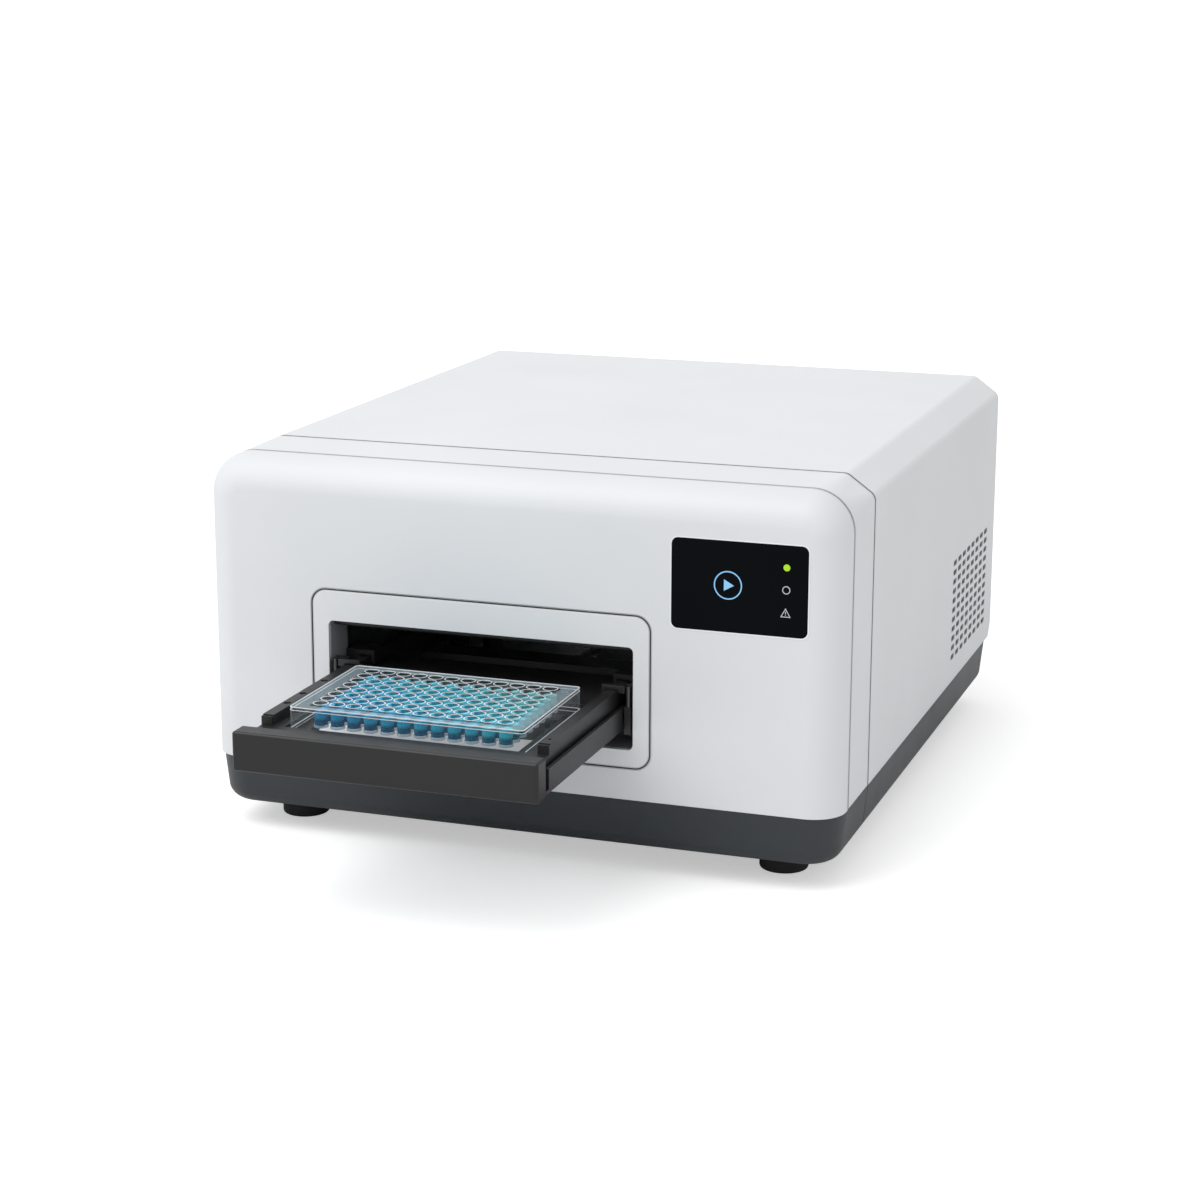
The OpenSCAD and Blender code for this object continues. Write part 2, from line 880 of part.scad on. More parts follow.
module rubber_feet() {
    color("black") for (p = foot_places)
        translate([p[0], p[1], 0]) difference() {
            union() {
                cylinder(r = foot_r - foot_lip, h = foot_h);
                translate([0, 0, foot_lip]) cylinder(r = foot_r, h = foot_h - foot_lip);
                translate([0, 0, foot_lip]) rotate_extrude()
                    translate([foot_r - foot_lip, 0]) circle(foot_lip);
            }
            translate([0, 0, -cut]) cylinder(r = foot_socket_r, h = foot_socket_h + cut);
            cylinder(r = foot_screw_r + screw_gap, h = foot_h + cut);
        }
}

module foot_screws() {
    color("silver") for (p = foot_places)
        translate([p[0], p[1], foot_socket_h]) {
            translate([0, 0, -foot_head_h]) cylinder(r = foot_head_r, h = foot_head_h);
            cylinder(r = foot_screw_r, h = foot_h - foot_socket_h + wall_t + boss_bore_h - 2);
        }
}

module chassis_plate() {
    in = wall_t + chassis_inset;
    color("silver") translate([-half_w + in, front_y + in, chassis_z])
        cube([body_w - 2 * in, body_d - 2 * in - rear_recess, chassis_t]);
}

// Guide rail beside the drawer: an upright with a shelf below the channel, on feet
module fixed_rail(side) {
    len = rail_y1 - rail_y0;
    foot_pitch = (rail_y1 - rail_foot_y0 - rail_foot_len) / (rail_feet - 1);
    color("dimgray") translate([bay_x, 0, 0]) mirror([side < 0 ? 1 : 0, 0, 0]) {
        translate([rail_x, rail_y0, rail_shelf_z]) cube([rail_t, len, rail_top - rail_shelf_z]);
        translate([rail_x - rail_shelf, rail_shelf_y, rail_shelf_z])
            cube([rail_shelf, rail_y1 - rail_shelf_y, rail_shelf_t]);
        for (i = [0 : rail_feet - 1])
            translate([rail_x, rail_foot_y0 + i * foot_pitch, deck_z]) {
                cube([rail_t, rail_foot_len, rail_shelf_z - deck_z]);
                cube([rail_foot_w, rail_foot_len, rail_foot_t]);
            }
    }
}

module fixed_rail_left() {
    fixed_rail(-1);
}

module fixed_rail_right() {
    fixed_rail(1);
}

// Hooks and guide blocks on the fixed rails. They reach over the drawer's runners, and
// the hooks stand clear above the closed drawer front
module guide_shoes() {
    leg_x = groove_x + slide_gap;
    hook_x = runner_x - slide_gap - block_leg_t;
    lip_z = runner_top + slide_gap;
    post_y = shoe_y + 2 * pin_r + pin_gap;
    color("dimgray") translate([bay_x, 0, 0]) for (m = [0, 1]) mirror([m, 0, 0]) {
        translate([rail_x, post_y, rail_top])
            cube([rail_t, shoe_y + shoe_len - post_y, lip_z + shoe_lip - rail_top]);
        translate([leg_x, shoe_y, hook_low])
            cube([rail_x - leg_x, shoe_len, lip_z + shoe_lip - hook_low]);
        translate([hook_x, shoe_y, lip_z]) cube([leg_x - hook_x, hook_len, shoe_lip]);
        translate([hook_x, shoe_y, hook_low])
            cube([block_leg_t, hook_len, lip_z + shoe_lip - hook_low]);
        translate([leg_x, block_y, rail_top])
            cube([rail_x + rail_t - leg_x, block_len, lip_z + block_t - rail_top]);
        translate([hook_x, block_y, lip_z]) cube([leg_x - hook_x, block_len, block_t]);
        translate([hook_x, block_y, block_leg_low])
            cube([block_leg_t, block_len, lip_z + block_t - block_leg_low]);
    }
}

// Pins on the fixed rails, in front of the hooks' posts
module guide_pins() {
    color("gray") for (s = [-1, 1])
        translate([bay_x + s * (rail_x + rail_t / 2), pin_y, rail_top])
            cylinder(r = pin_r, h = pin_h);
}

// Handle bar across the drawer's front, with soft edges
module drawer_front() {
    r = drawer_soft;
    color("dimgray") hull()
        for (x = [-1, 1], y = [r, drawer_t - r], z = [r, drawer_h - r])
            translate([bay_x + x * (drawer_w / 2 - r), drawer_face_y + y, drawer_z + z])
                sphere(r, $fn = 24);
}

// Side channel of the drawer: floor, outer wall and raised runner with screw recesses
module channel(side) {
    recesses = side < 0 ? left_recesses : [right_recess];
    r = side < 0 ? recess_r : right_recess_r;
    len = channel_back_y - drawer_back_y;
    color("#3a3a3c") translate([bay_x, 0, 0]) mirror([side < 0 ? 1 : 0, 0, 0]) difference() {
        union() {
            translate([runner_x, drawer_back_y, channel_z])
                cube([channel_x - runner_x, len, channel_wall_t]);
            translate([channel_x - channel_t, drawer_back_y + channel_step, channel_z])
                cube([channel_t, len - channel_step, channel_h]);
            translate([runner_x, runner_y, channel_z])
                cube([runner_w, channel_back_y - runner_y, runner_h]);
        }
        for (y = recesses)
            translate([runner_x + runner_w / 2, runner_y + y, runner_top - recess_t])
                cylinder(r = r, h = recess_t + cut);
    }
}

module channel_left() {
    channel(-1);
}

module channel_right() {
    channel(1);
}

// Caps on the front ends of the runners
module runner_caps() {
    color("black") translate([bay_x, 0, 0]) for (m = [0, 1]) mirror([m, 0, 0])
        translate([runner_x, runner_y - cap_t, carrier_top])
            cube([runner_w, cap_t, runner_top - carrier_top - cap_lip]);
}

// Nest that the plate stands in, open underneath for the light path
module plate_carrier() {
    pl = plate_l + 2 * nest_gap;
    pw = plate_w + 2 * nest_gap;
    wl = plate_l - 2 * window_margin;
    ww = plate_w - 2 * window_margin;
    h = carrier_top - nest_z + carrier_t;
    color("#3a3a3c") difference() {
        union() {
            translate([bay_x - runner_x, drawer_back_y, nest_z - carrier_t])
                cube([2 * runner_x, carrier_back_y - drawer_back_y, h]);
            translate([bay_x - groove_x, drawer_back_y, nest_z - carrier_t])
                cube([2 * groove_x, runner_y - drawer_back_y, h]);
        }
        translate([bay_x - pl / 2, nest_y, nest_z]) cube([pl, pw, nest_depth + cut]);
        translate([bay_x - wl / 2, plate_y + window_margin, nest_z - carrier_t - cut])
            cube([wl, ww, carrier_t + 2 * cut]);
        translate([clamp_x, clamp_y, nest_z]) cylinder(r = clamp_pin_r, h = nest_depth + cut);
    }
}

// Bar across the channels' rear ends, which carries the nut
module tray_crossbar() {
    color("#3a3a3c") translate([bay_x - runner_x, crossbar_y, channel_z])
        cube([2 * runner_x, crossbar_w, crossbar_h]);
}

// Sprung lever that holds the plate against the front of its nest
module plate_clamp() {
    color("gray") translate([clamp_x, clamp_y, carrier_top]) difference() {
        linear_extrude(clamp_h) {
            circle(clamp_r);
            translate([-clamp_len, -clamp_t / 2]) square([clamp_len, clamp_t]);
            translate([-clamp_len, clamp_nose_r - clamp_r]) {
                circle(clamp_nose_r);
                translate([-clamp_nose_r, 0])
                    square([2 * clamp_nose_r, clamp_r - clamp_nose_r + clamp_t / 2]);
            }
        }
        translate([0, 0, -cut]) cylinder(r = clamp_pin_r + run_gap, h = clamp_h + 2 * cut);
    }
}

module clamp_pin() {
    shank = nest_depth + clamp_h + slide_gap;
    color("silver") translate([clamp_x, clamp_y, nest_z]) {
        cylinder(r = clamp_pin_r, h = shank);
        translate([0, 0, shank]) cylinder(r = clamp_head_r, h = clamp_head_t);
    }
}

// Centre of well i, j
function well_x(i) = bay_x + (i - (well_cols - 1) / 2) * well_pitch;
function well_y(j) = plate_y + plate_w / 2 + (j - (well_rows - 1) / 2) * well_pitch;

module at_wells() {
    for (i = [0 : well_cols - 1], j = [0 : well_rows - 1])
        translate([well_x(i), well_y(j), 0]) children();
}

// Plate body's outline, drawn in from the footprint, with two clipped corners
module plate_outline(inset) {
    difference() {
        translate([bay_x - plate_l / 2 + inset, plate_y + inset])
            round_rect(plate_l - 2 * inset, plate_w - 2 * inset, plate_r);
        for (y = [plate_y + inset, plate_y + plate_w - inset])
            translate([bay_x - plate_l / 2 + inset, y]) rotate(45)
                square(plate_clip * sqrt(2), center = true);
    }
}

// Well plate: footprint skirt, deck and tube wells with raised rims
module microplate() {
    tube_z = well_floor_z - well_floor_t;
    color("lightcyan", 0.4) difference() {
        union() {
            translate([0, 0, nest_z]) linear_extrude(skirt_lip_h) difference() {
                translate([bay_x - plate_l / 2, plate_y]) round_rect(plate_l, plate_w, plate_r);
                plate_outline(skirt_step + skirt_t);
            }
            translate([0, 0, nest_z + skirt_lip_h])
                linear_extrude(plate_deck_z - nest_z - skirt_lip_h - deck_t) difference() {
                    plate_outline(skirt_step);
                    plate_outline(skirt_step + skirt_t);
                }
            translate([0, 0, plate_deck_z - deck_t]) linear_extrude(deck_t)
                plate_outline(skirt_step);
            at_wells() translate([0, 0, tube_z])
                cylinder(r = well_r + well_wall, h = nest_z + plate_h - tube_z);
        }
        at_wells() translate([0, 0, well_floor_z]) cylinder(r = well_r, h = well_depth + cut);
    }
}

module sample_liquid() {
    color("deepskyblue", 0.8) at_wells()
        translate([0, 0, well_floor_z]) cylinder(r = well_r - liquid_gap, h = fill_depth);
}

module drive_nut() {
    y0 = crossbar_y + nut_set;
    block_z = screw_z + screw_r;
    color("goldenrod") difference() {
        union() {
            rod_y(bay_x, y0, y0 + nut_l, screw_z, nut_r);
            translate([bay_x - nut_block_w / 2, y0, block_z])
                cube([nut_block_w, nut_block_l, channel_z - block_z]);
        }
        rod_y(bay_x, y0 - cut, y0 + nut_l + cut, screw_z, screw_r + run_gap);
    }
}

module lead_screw() {
    shaft_y1 = bracket_y + bracket_t + motor_shaft_in;
    color("silver") {
        rod_y(bay_x, screw_y0 + 1, screw_y1 + cut, screw_z, screw_r);
        rod_y(bay_x, screw_y1, screw_y1 + coupler_l, screw_z, coupler_r);
        rod_y(bay_x, screw_y1 + coupler_l, shaft_y1, screw_z, motor_shaft_r);
    }
}

module screw_bearing() {
    color("gray") difference() {
        union() {
            translate([bay_x - bearing_w / 2, screw_y0, deck_z])
                cube([bearing_w, bearing_t, screw_z - deck_z]);
            rod_y(bay_x, screw_y0, screw_y0 + bearing_t, screw_z, bearing_w / 2);
        }
        rod_y(bay_x, screw_y0 - cut, screw_y0 + bearing_t + cut, screw_z, screw_r + run_gap);
    }
}

module motor_bracket() {
    color("silver") difference() {
        translate([bay_x - motor_w / 2, bracket_y, deck_z]) {
            cube([motor_w, bracket_t, screw_z + motor_w / 2 - deck_z]);
            cube([motor_w, bracket_foot, bracket_foot_t]);
        }
        rod_y(bay_x, bracket_y - cut, bracket_y + bracket_t + cut, screw_z,
            motor_hub_r + screw_gap);
    }
}

module tray_motor() {
    y0 = bracket_y + bracket_t;
    color("black") difference() {
        union() {
            translate([bay_x, y0, screw_z]) rotate([-90, 0, 0])
                translate([-motor_w / 2, -motor_w / 2, 0])
                    linear_extrude(motor_l) round_rect(motor_w, motor_w, motor_corner_r);
            rod_y(bay_x, y0 - motor_hub_t, y0 + cut, screw_z, motor_hub_r);
        }
        rod_y(bay_x, y0 - motor_hub_t - cut, y0 + motor_shaft_in + 2, screw_z,
            motor_shaft_r + run_gap);
    }
}

// Gantry round the drawer's path that carries the optics' rods
module optics_frame() {
    y0 = optics_y - optics_d / 2;
    color("silver") difference() {
        union() {
            for (x = [frame_x0, frame_x1 - frame_t])
                translate([x, y0, deck_z]) cube([frame_t, optics_d, frame_top - deck_z]);
            translate([frame_x0, y0, frame_top - frame_t])
                cube([frame_x1 - frame_x0, optics_d, frame_t]);
        }
        for (s = [-1, 1]) {
            rod_x(frame_x0 - cut, frame_x1 + cut, optics_y + s * rod_dy, rod_z, rod_r);
            rod_x(frame_x0 - cut, frame_x1 + cut, optics_y + s * low_rod_dy, low_rod_z, low_rod_r);
        }
        rod_x(frame_x0 - cut, frame_x0 + frame_t + cut, lens_y, beam_z, beam_r + beam_clear);
    }
}

module head_rods() {
    color("silver") for (s = [-1, 1])
        rod_x(frame_x0, frame_x1, optics_y + s * rod_dy, rod_z, rod_r);
}

module detector_rods() {
    color("silver") for (s = [-1, 1])
        rod_x(frame_x0, frame_x1, optics_y + s * low_rod_dy, low_rod_z, low_rod_r);
}

// Measuring head: the beam enters from the side and turns down through the lens
module read_head() {
    color("dimgray") difference() {
        union() {
            translate([bay_x - head_w / 2, optics_y - head_d / 2, head_z + nose_h])
                cube([head_w, head_d, head_h - nose_h]);
            translate([bay_x, lens_y, head_z]) cylinder(r = nose_r, h = nose_h + cut);
        }
        for (s = [-1, 1])
            rod_x(bay_x - head_w, bay_x + head_w, optics_y + s * rod_dy, rod_z, rod_r + run_gap);
        rod_x(bay_x - head_w, bay_x, lens_y, beam_z, beam_r);
        translate([bay_x, lens_y, head_z - cut]) cylinder(r = lens_r, h = beam_z - head_z + cut);
    }
}

// Detector carriage under the plate
module detector_head() {
    color("dimgray") difference() {
        translate([bay_x - det_w / 2, optics_y - det_d / 2, det_z])
            cube([det_w, det_d, det_top - det_z]);
        for (s = [-1, 1])
            rod_x(bay_x - det_w, bay_x + det_w, optics_y + s * low_rod_dy, low_rod_z,
                low_rod_r + run_gap);
        translate([bay_x, lens_y, det_top - det_bore]) cylinder(r = lens_r, h = det_bore + cut);
    }
}

// Lamp tube on a standing plate, with cooling fins
module lamp_module() {
    x1 = lamp_plate_x;
    fins = floor((lamp_l - fin_start - fin_t) / fin_pitch) + 1;
    plate_y1 = wheel_y + lamp_plate_w / 2;
    plate_y0 = lens_y - lamp_plate_w / 2;
    color("gray") difference() {
        union() {
            translate([x1, plate_y0, deck_z])
                cube([lamp_plate_t, plate_y1 - plate_y0, beam_z + lamp_plate_w / 2 - deck_z]);
            rod_x(x1 - lamp_l, x1 + cut, lens_y, beam_z, lamp_r - fin_h);
            for (i = [0 : fins - 1])
                rod_x(x1 - fin_start - fin_t - i * fin_pitch, x1 - fin_start - i * fin_pitch,
                    lens_y, beam_z, lamp_r);
        }
        rod_x(x1 - lamp_l + lamp_floor_t, x1 + lamp_plate_t + cut, lens_y, beam_z, beam_r + 1);
        rod_x(x1 - cut, x1 + lamp_plate_t + cut, wheel_y, wheel_z, wheel_shaft_r + 1);
    }
}

// Wheel with one filter on the beam
module filter_wheel() {
    beam_angle = -asin(wheel_dy / wheel_ring_r);
    color("black") difference() {
        union() {
            rod_x(wheel_x, wheel_x + wheel_t, wheel_y, wheel_z, wheel_r);
            rod_x(lamp_plate_x - wheel_shaft_in, wheel_x + cut, wheel_y, wheel_z, wheel_shaft_r);
        }
        for (i = [0 : wheel_filters - 1]) {
            a = beam_angle + i * 360 / wheel_filters;
            rod_x(wheel_x - cut, wheel_x + wheel_t + cut, wheel_y + wheel_ring_r * sin(a),
                wheel_z + wheel_ring_r * cos(a), filter_r);
        }
    }
}

module filter_motor() {
    color("silver") difference() {
        rod_x(lamp_plate_x - fmotor_l, lamp_plate_x, wheel_y, wheel_z, fmotor_r);
        rod_x(lamp_plate_x - wheel_shaft_in - 1, lamp_plate_x + cut, wheel_y, wheel_z,
            wheel_shaft_r + run_gap);
    }
}

// Caged power supply, with a vented lid
module power_supply() {
    slots = floor((supply_d - 2 * grille_inset) / grille_pitch);
    color("silver") difference() {
        translate([supply_x, supply_y, deck_z]) cube([supply_w, supply_d, supply_h]);
        for (i = [0 : slots - 1])
            translate([supply_x + grille_inset, supply_y + grille_first + i * grille_pitch,
                deck_z + supply_h - lid_t])
                cube([supply_w - 2 * grille_inset, grille_w, lid_t + cut]);
    }
}

module main_board() {
    color("darkgreen") translate([board_x, board_y, deck_z + standoff_h]) {
        cube([board_w, board_d, board_t]);
        translate([chip_x, chip_y, board_t]) cube([chip_w, chip_w, chip_t]);
        translate([board_w - choke_w - choke_in, choke_y, board_t])
            cube([choke_w, choke_d, choke_h]);
        translate([part_gap, board_d - header_back, board_t])
            cube([board_w - 3 * part_gap, header_d, header_h]);
        for (i = [0 : caps - 1])
            translate([board_w - cap_in, cap_y + i * cap_pitch, board_t])
                cylinder(r = cap_r, h = cap_h);
    }
}

module board_standoffs() {
    color("goldenrod")
        for (x = [board_x + standoff_in, board_x + board_w - standoff_in],
                y = [board_y + standoff_in, board_y + board_d - standoff_in])
            translate([x, y, deck_z]) cylinder(r = standoff_r, h = standoff_h);
}

// Lugs inside the cover for the rear panel's screws
module rear_lugs() {
    for (p = rear_screw_places) {
        s = p[0] < 0 ? -1 : 1;
        translate([0, 0, p[1]]) difference() {
            union() {
                rod_y(p[0], rear_y - lug_len, rear_y, 0, lug_r);
                translate([s > 0 ? p[0] : -half_w + wall_t / 2, rear_y - lug_len, -lug_r])
                    cube([half_w - wall_t / 2 - rear_screw_x, lug_len, 2 * lug_r]);
            }
            rod_y(p[0], rear_y - lug_len + lug_wall, rear_y + cut, 0, rear_screw_r + 0.05);
        }
    }
}

module rear_panel() {
    color("lightgray") difference() {
        union() {
            upright(rear_y, rear_t) difference() {
                cover_outline(wall_t + rear_gap);
                translate([-half_w, seam_z - 2 * cut]) square([body_w, rear_gap + 2 * cut]);
            }
            translate([-half_w + sill_inset, rear_y - sill_d, deck_z])
                cube([body_w - 2 * sill_inset, sill_d + cut, sill_t]);
        }
        rod_y(fan_x, rear_y - cut, rear_face_y + cut, fan_z, fan_r);
        rear_hole(service_x, inlet_body_w + rear_gap, inlet_body_h + rear_gap);
        rear_hole(switch_x, switch_w - rear_gap, switch_h - rear_gap);
        for (i = [0, 1])
            rear_hole(port_x + i * port_pitch, port_w, port_h);
        for (p = rear_screw_places)
            rod_y(p[0], rear_y - cut, rear_face_y + cut, p[1], rear_screw_r + rear_gap);
    }
}

// Hole in the rear panel for a service of width w and height h
module rear_hole(x, w, h) {
    translate([x - w / 2 - rear_gap / 2, rear_y - cut, inlet_z - h / 2 - rear_gap / 2])
        cube([w + rear_gap, rear_t + 2 * cut, h + rear_gap]);
}

// Mains inlet: flange, shrouded socket and three blades
module power_inlet() {
    y0 = rear_face_y - inlet_d + inlet_set;
    floor_y = y0 + inlet_floor_t;
    cavity_w = inlet_body_w - 2 * inlet_wall;
    color("black") {
        difference() {
            union() {
                upright(rear_face_y, inlet_flange_t)
                    translate([service_x - inlet_w / 2, inlet_z - inlet_h / 2])
                        round_rect(inlet_w, inlet_h, inlet_r);
                translate([service_x - inlet_body_w / 2, y0, inlet_z - inlet_body_h / 2])
                    cube([inlet_body_w, inlet_d - inlet_set + cut, inlet_body_h]);
            }
            translate([service_x - cavity_w / 2, floor_y, inlet_z - inlet_cavity_h / 2])
                cube([cavity_w, inlet_d, inlet_cavity_h]);
            for (s = [-1, 1])
                rod_y(service_x + s * inlet_screw_x, rear_face_y - cut,
                    rear_face_y + inlet_flange_t + cut, inlet_z, inlet_screw_r);
        }
        for (i = [-1 : 1])
            translate([service_x + i * prong_pitch - prong_w / 2, floor_y - cut,
                inlet_z - prong_h / 2])
                cube([prong_w, prong_l, prong_h]);
    }
}

module switch_frame() {
    w = switch_w - rear_gap;
    h = switch_h - rear_gap;
    cavity_w = switch_w - 2 * switch_wall;
    cavity_h = switch_h - switch_wall;
    pin_x = switch_w / 2 - rocker_pin_wall;
    color("black") difference() {
        union() {
            translate([switch_x - switch_w / 2 - switch_lap_x, rear_face_y,
                inlet_z - switch_h / 2 - switch_lap_z])
                cube([switch_w + 2 * switch_lap_x, switch_frame_t, switch_h + 2 * switch_lap_z]);
            translate([switch_x - w / 2, rear_face_y - switch_d, inlet_z - h / 2])
                cube([w, switch_d + cut, h]);
        }
        translate([switch_x - cavity_w / 2, rear_face_y - switch_d + switch_floor_t,
            inlet_z - cavity_h / 2])
            cube([cavity_w, switch_d + switch_frame_t, cavity_h]);
        rod_x(switch_x - pin_x, switch_x + pin_x, rear_face_y - rocker_sink, inlet_z,
            rocker_pin_r + run_gap);
    }
}

// Rocker that tips on its cross pin
module rocker_switch() {
    w = switch_w - 2 * switch_wall - 2 * rocker_side_gap;
    pin_x = switch_w / 2 - rocker_pin_wall - rocker_pin_end;
    y = rear_face_y - rocker_sink;
    r = min(rocker_r, switch_h / 2 - switch_wall / 2 - 0.15);
    color("black") {
        translate([switch_x - w / 2, y, inlet_z]) rotate([rocker_tilt, 0, 0])
            rotate([90, 0, 90]) linear_extrude(w) intersection() {
                circle(r);
                polygon([[-rocker_d, -r], [1.5, -r], [3.2, 0], [1.5, r], [-rocker_d, r]]);
            }
        rod_x(switch_x - pin_x, switch_x + pin_x, y, inlet_z, rocker_pin_r);
    }
}

module data_ports() {
    color("gray") for (i = [0, 1])
        translate([port_x + i * port_pitch, rear_face_y - port_d, inlet_z]) difference() {
            translate([-port_w / 2, 0, -port_h / 2]) cube([port_w, port_d + port_proud, port_h]);
            translate([-port_w / 2 + port_wall, port_floor_t, -port_h / 2 + port_wall])
                cube([port_w - 2 * port_wall, port_d, port_h - 2 * port_wall]);
        }
}

// Fan housing with its motor stand
module fan_frame() {
    y0 = rear_y - fan_d;
    y1 = y0 + fan_base_t;
    color("black") difference() {
        union() {
            upright(y0, fan_base_t) {
                fan_ring();
                translate([fan_x, fan_z]) {
                    circle(fan_hub_r);
                    for (a = [45, 135])
                        rotate(a) translate([-fan_r - 1, -strut_w / 2])
                            square([2 * fan_r + 2, strut_w]);
                }
            }
            upright(y1, fan_d - fan_base_t) fan_ring();
            rod_y(fan_x, y0, y1 + stator_l, fan_z, stator_r);
        }
        rod_y(fan_x, y0 - cut, y1 + stator_l + cut, fan_z, fan_shaft_r + run_gap);
    }
}

// The fan housing's square outline with its round passage
module fan_ring() {
    translate([fan_x, fan_z]) difference() {
        square(fan_w, center = true);
        circle(fan_r);
    }
}

// Rotor: a bladed cup over the stator, with its shaft in the stator's bore
module fan_rotor() {
    y0 = rear_y - fan_d + fan_base_t + rotor_gap;
    y1 = y0 + rotor_l;
    reach = fan_r - fan_hub_r - blade_gap;
    color("dimgray") {
        difference() {
            union() {
                rod_y(fan_x, y0, y1, fan_z, fan_hub_r);
                for (i = [0 : fan_blades - 1])
                    translate([fan_x, (y0 + y1) / 2, fan_z]) rotate([0, i * 360 / fan_blades, 0])
                        rotate([blade_pitch, 0, 0])
                            translate([fan_hub_r - 1, -blade_t / 2, -blade_w / 2])
                                cube([reach + 1, blade_t, blade_w]);
            }
            rod_y(fan_x, y0 - cut, y1 - cup_t, fan_z, fan_hub_r - cup_t);
        }
        rod_y(fan_x, y0 - fan_base_t, y1 - cup_t / 2, fan_z, fan_shaft_r);
    }
}

// Finger guard: rings on a cross with four feet, against the rear panel
module fan_guard() {
    y0 = rear_face_y;
    pitch = (fan_r + 1 - guard_hole_r) / (guard_rings - 1);
    foot = fan_w / 2 - guard_foot_in;
    bar = foot * sqrt(2) + guard_over;
    color("silver") {
        for (i = [0 : guard_rings - 1])
            translate([fan_x, y0 + guard_wire, fan_z]) rotate([90, 0, 0]) rotate_extrude()
                translate([guard_hole_r + i * pitch - guard_wire / 2, -guard_wire])
                    square(guard_wire);
        for (a = [45, 135])
            translate([fan_x, y0 + guard_wire, fan_z]) rotate([0, a, 0])
                translate([-bar, 0, -guard_bar_w / 2])
                    cube([2 * bar, guard_bar_t, guard_bar_w]);
        for (s = [-1, 1], t = [-1, 1])
            rod_y(fan_x + s * foot, y0, y0 + guard_wire + guard_bar_t / 2, fan_z + t * foot,
                guard_foot_r);
    }
}

module rear_screws() {
    color("silver") for (p = rear_screw_places) {
        rod_y(p[0], rear_y - rear_screw_l, rear_face_y + cut, p[1], rear_screw_r);
        rod_y(p[0], rear_face_y, rear_face_y + rear_head_t, p[1], rear_head_r);
    }
}

front_panel();
door_trim();
opening_liner();
light_flap();
display_glass();
display_board();
bezel_ring();
main_cover();
base_front();
base_tub();
rubber_feet();
foot_screws();
chassis_plate();
fixed_rail_left();
fixed_rail_right();
guide_shoes();
guide_pins();
drawer_front();
channel_left();
channel_right();
runner_caps();
plate_carrier();
tray_crossbar();
plate_clamp();
clamp_pin();
microplate();
sample_liquid();
drive_nut();
lead_screw();
screw_bearing();
motor_bracket();
tray_motor();
optics_frame();
head_rods();
read_head();
detector_rods();
detector_head();
lamp_module();
filter_wheel();
filter_motor();
power_supply();
main_board();
board_standoffs();
rear_panel();
power_inlet();
switch_frame();
rocker_switch();
data_ports();
fan_frame();
fan_rotor();
fan_guard();
rear_screws();
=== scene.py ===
import json
import math

import bpy
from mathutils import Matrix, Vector


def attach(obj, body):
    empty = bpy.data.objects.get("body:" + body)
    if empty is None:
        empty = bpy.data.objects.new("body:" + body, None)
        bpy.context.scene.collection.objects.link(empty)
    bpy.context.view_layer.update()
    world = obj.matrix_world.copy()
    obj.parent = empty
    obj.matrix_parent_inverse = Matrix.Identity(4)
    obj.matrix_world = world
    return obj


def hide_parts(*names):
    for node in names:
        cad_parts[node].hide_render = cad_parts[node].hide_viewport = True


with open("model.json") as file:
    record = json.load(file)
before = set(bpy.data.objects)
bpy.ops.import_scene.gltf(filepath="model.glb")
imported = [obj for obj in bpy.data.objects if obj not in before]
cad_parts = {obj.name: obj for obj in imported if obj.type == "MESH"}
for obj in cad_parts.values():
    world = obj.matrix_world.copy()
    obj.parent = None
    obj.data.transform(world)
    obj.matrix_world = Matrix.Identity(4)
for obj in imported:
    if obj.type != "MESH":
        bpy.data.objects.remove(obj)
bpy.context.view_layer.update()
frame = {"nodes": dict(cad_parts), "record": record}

RECORD = frame["record"]
NODES = frame["nodes"]
MM = 0.001

# ---- places that the scene's own pieces share with the CAD, in millimetres
FRONT_Y = -137.0
BAY_X = -18.2
GLASS_X, GLASS_Z = 123.2, 159.1
GLASS_W, GLASS_H, GLASS_R = 71.4, 47.2, 3.5
GLASS_FACE_Y = FRONT_Y + 0.2
PLATE_L, PLATE_W = 127.76, 85.48
PLATE_Y0, NEST_Z, PLATE_TOP = -236.0, 90.0, 104.35
DECK_Z = 103.75
SKIRT_STEP = 1.3
WELL_R, WELL_WALL, WELL_PITCH, WELL_FLOOR_Z, FILL = 3.4, 0.7, 9.0, 93.55, 7.0
COLS, ROWS = 12, 8
HALF_W, ROOF_Z, SEAM_Z = 176.5, 208.0, 41.0
PANEL_R, CHAMFER_W, CHAMFER_H, CHAMFER_BLEND = 22.0, 17.0, 14.0, 6.0
RING_Y, COVER_Y, SEAM_GAP = -115.0, -71.0, 0.6
TRIM_W, TRIM_H, TRIM_R = 189.0, 81.0, 8.0
TRIM_X, TRIM_Z = BAY_X, 58.4 + TRIM_H / 2
SEAM_FRONT, SEAM_REAR = RING_Y + SEAM_GAP / 2, COVER_Y - SEAM_GAP / 2

# ---- painted shade in gaps and beside seams, in metres. Gaps darken with painted shade, and
# strips beside a seam get painted shade and lean as if their edges were rounded. That is
# colour and bump, and isn't in the mesh
GAP_SHADE_SAMPLES = 8
GAP_SHADE_STOPS = [(0.22, (0.02,) * 3), (0.88, (1.0,) * 3)]
TRIM_FURTHER = 2.6
STRIP_PAINTED_SHADE, STRIP_FROM, STRIP_TO = 0.42, 0.0006, 0.0016
LEAN_WIDTH, LEAN_DEPTH = 0.0026, 0.0011
SLOW_STRENGTH, SLOW_DEPTH = 0.15, 0.0004
ROUGH_SPREAD = 0.05


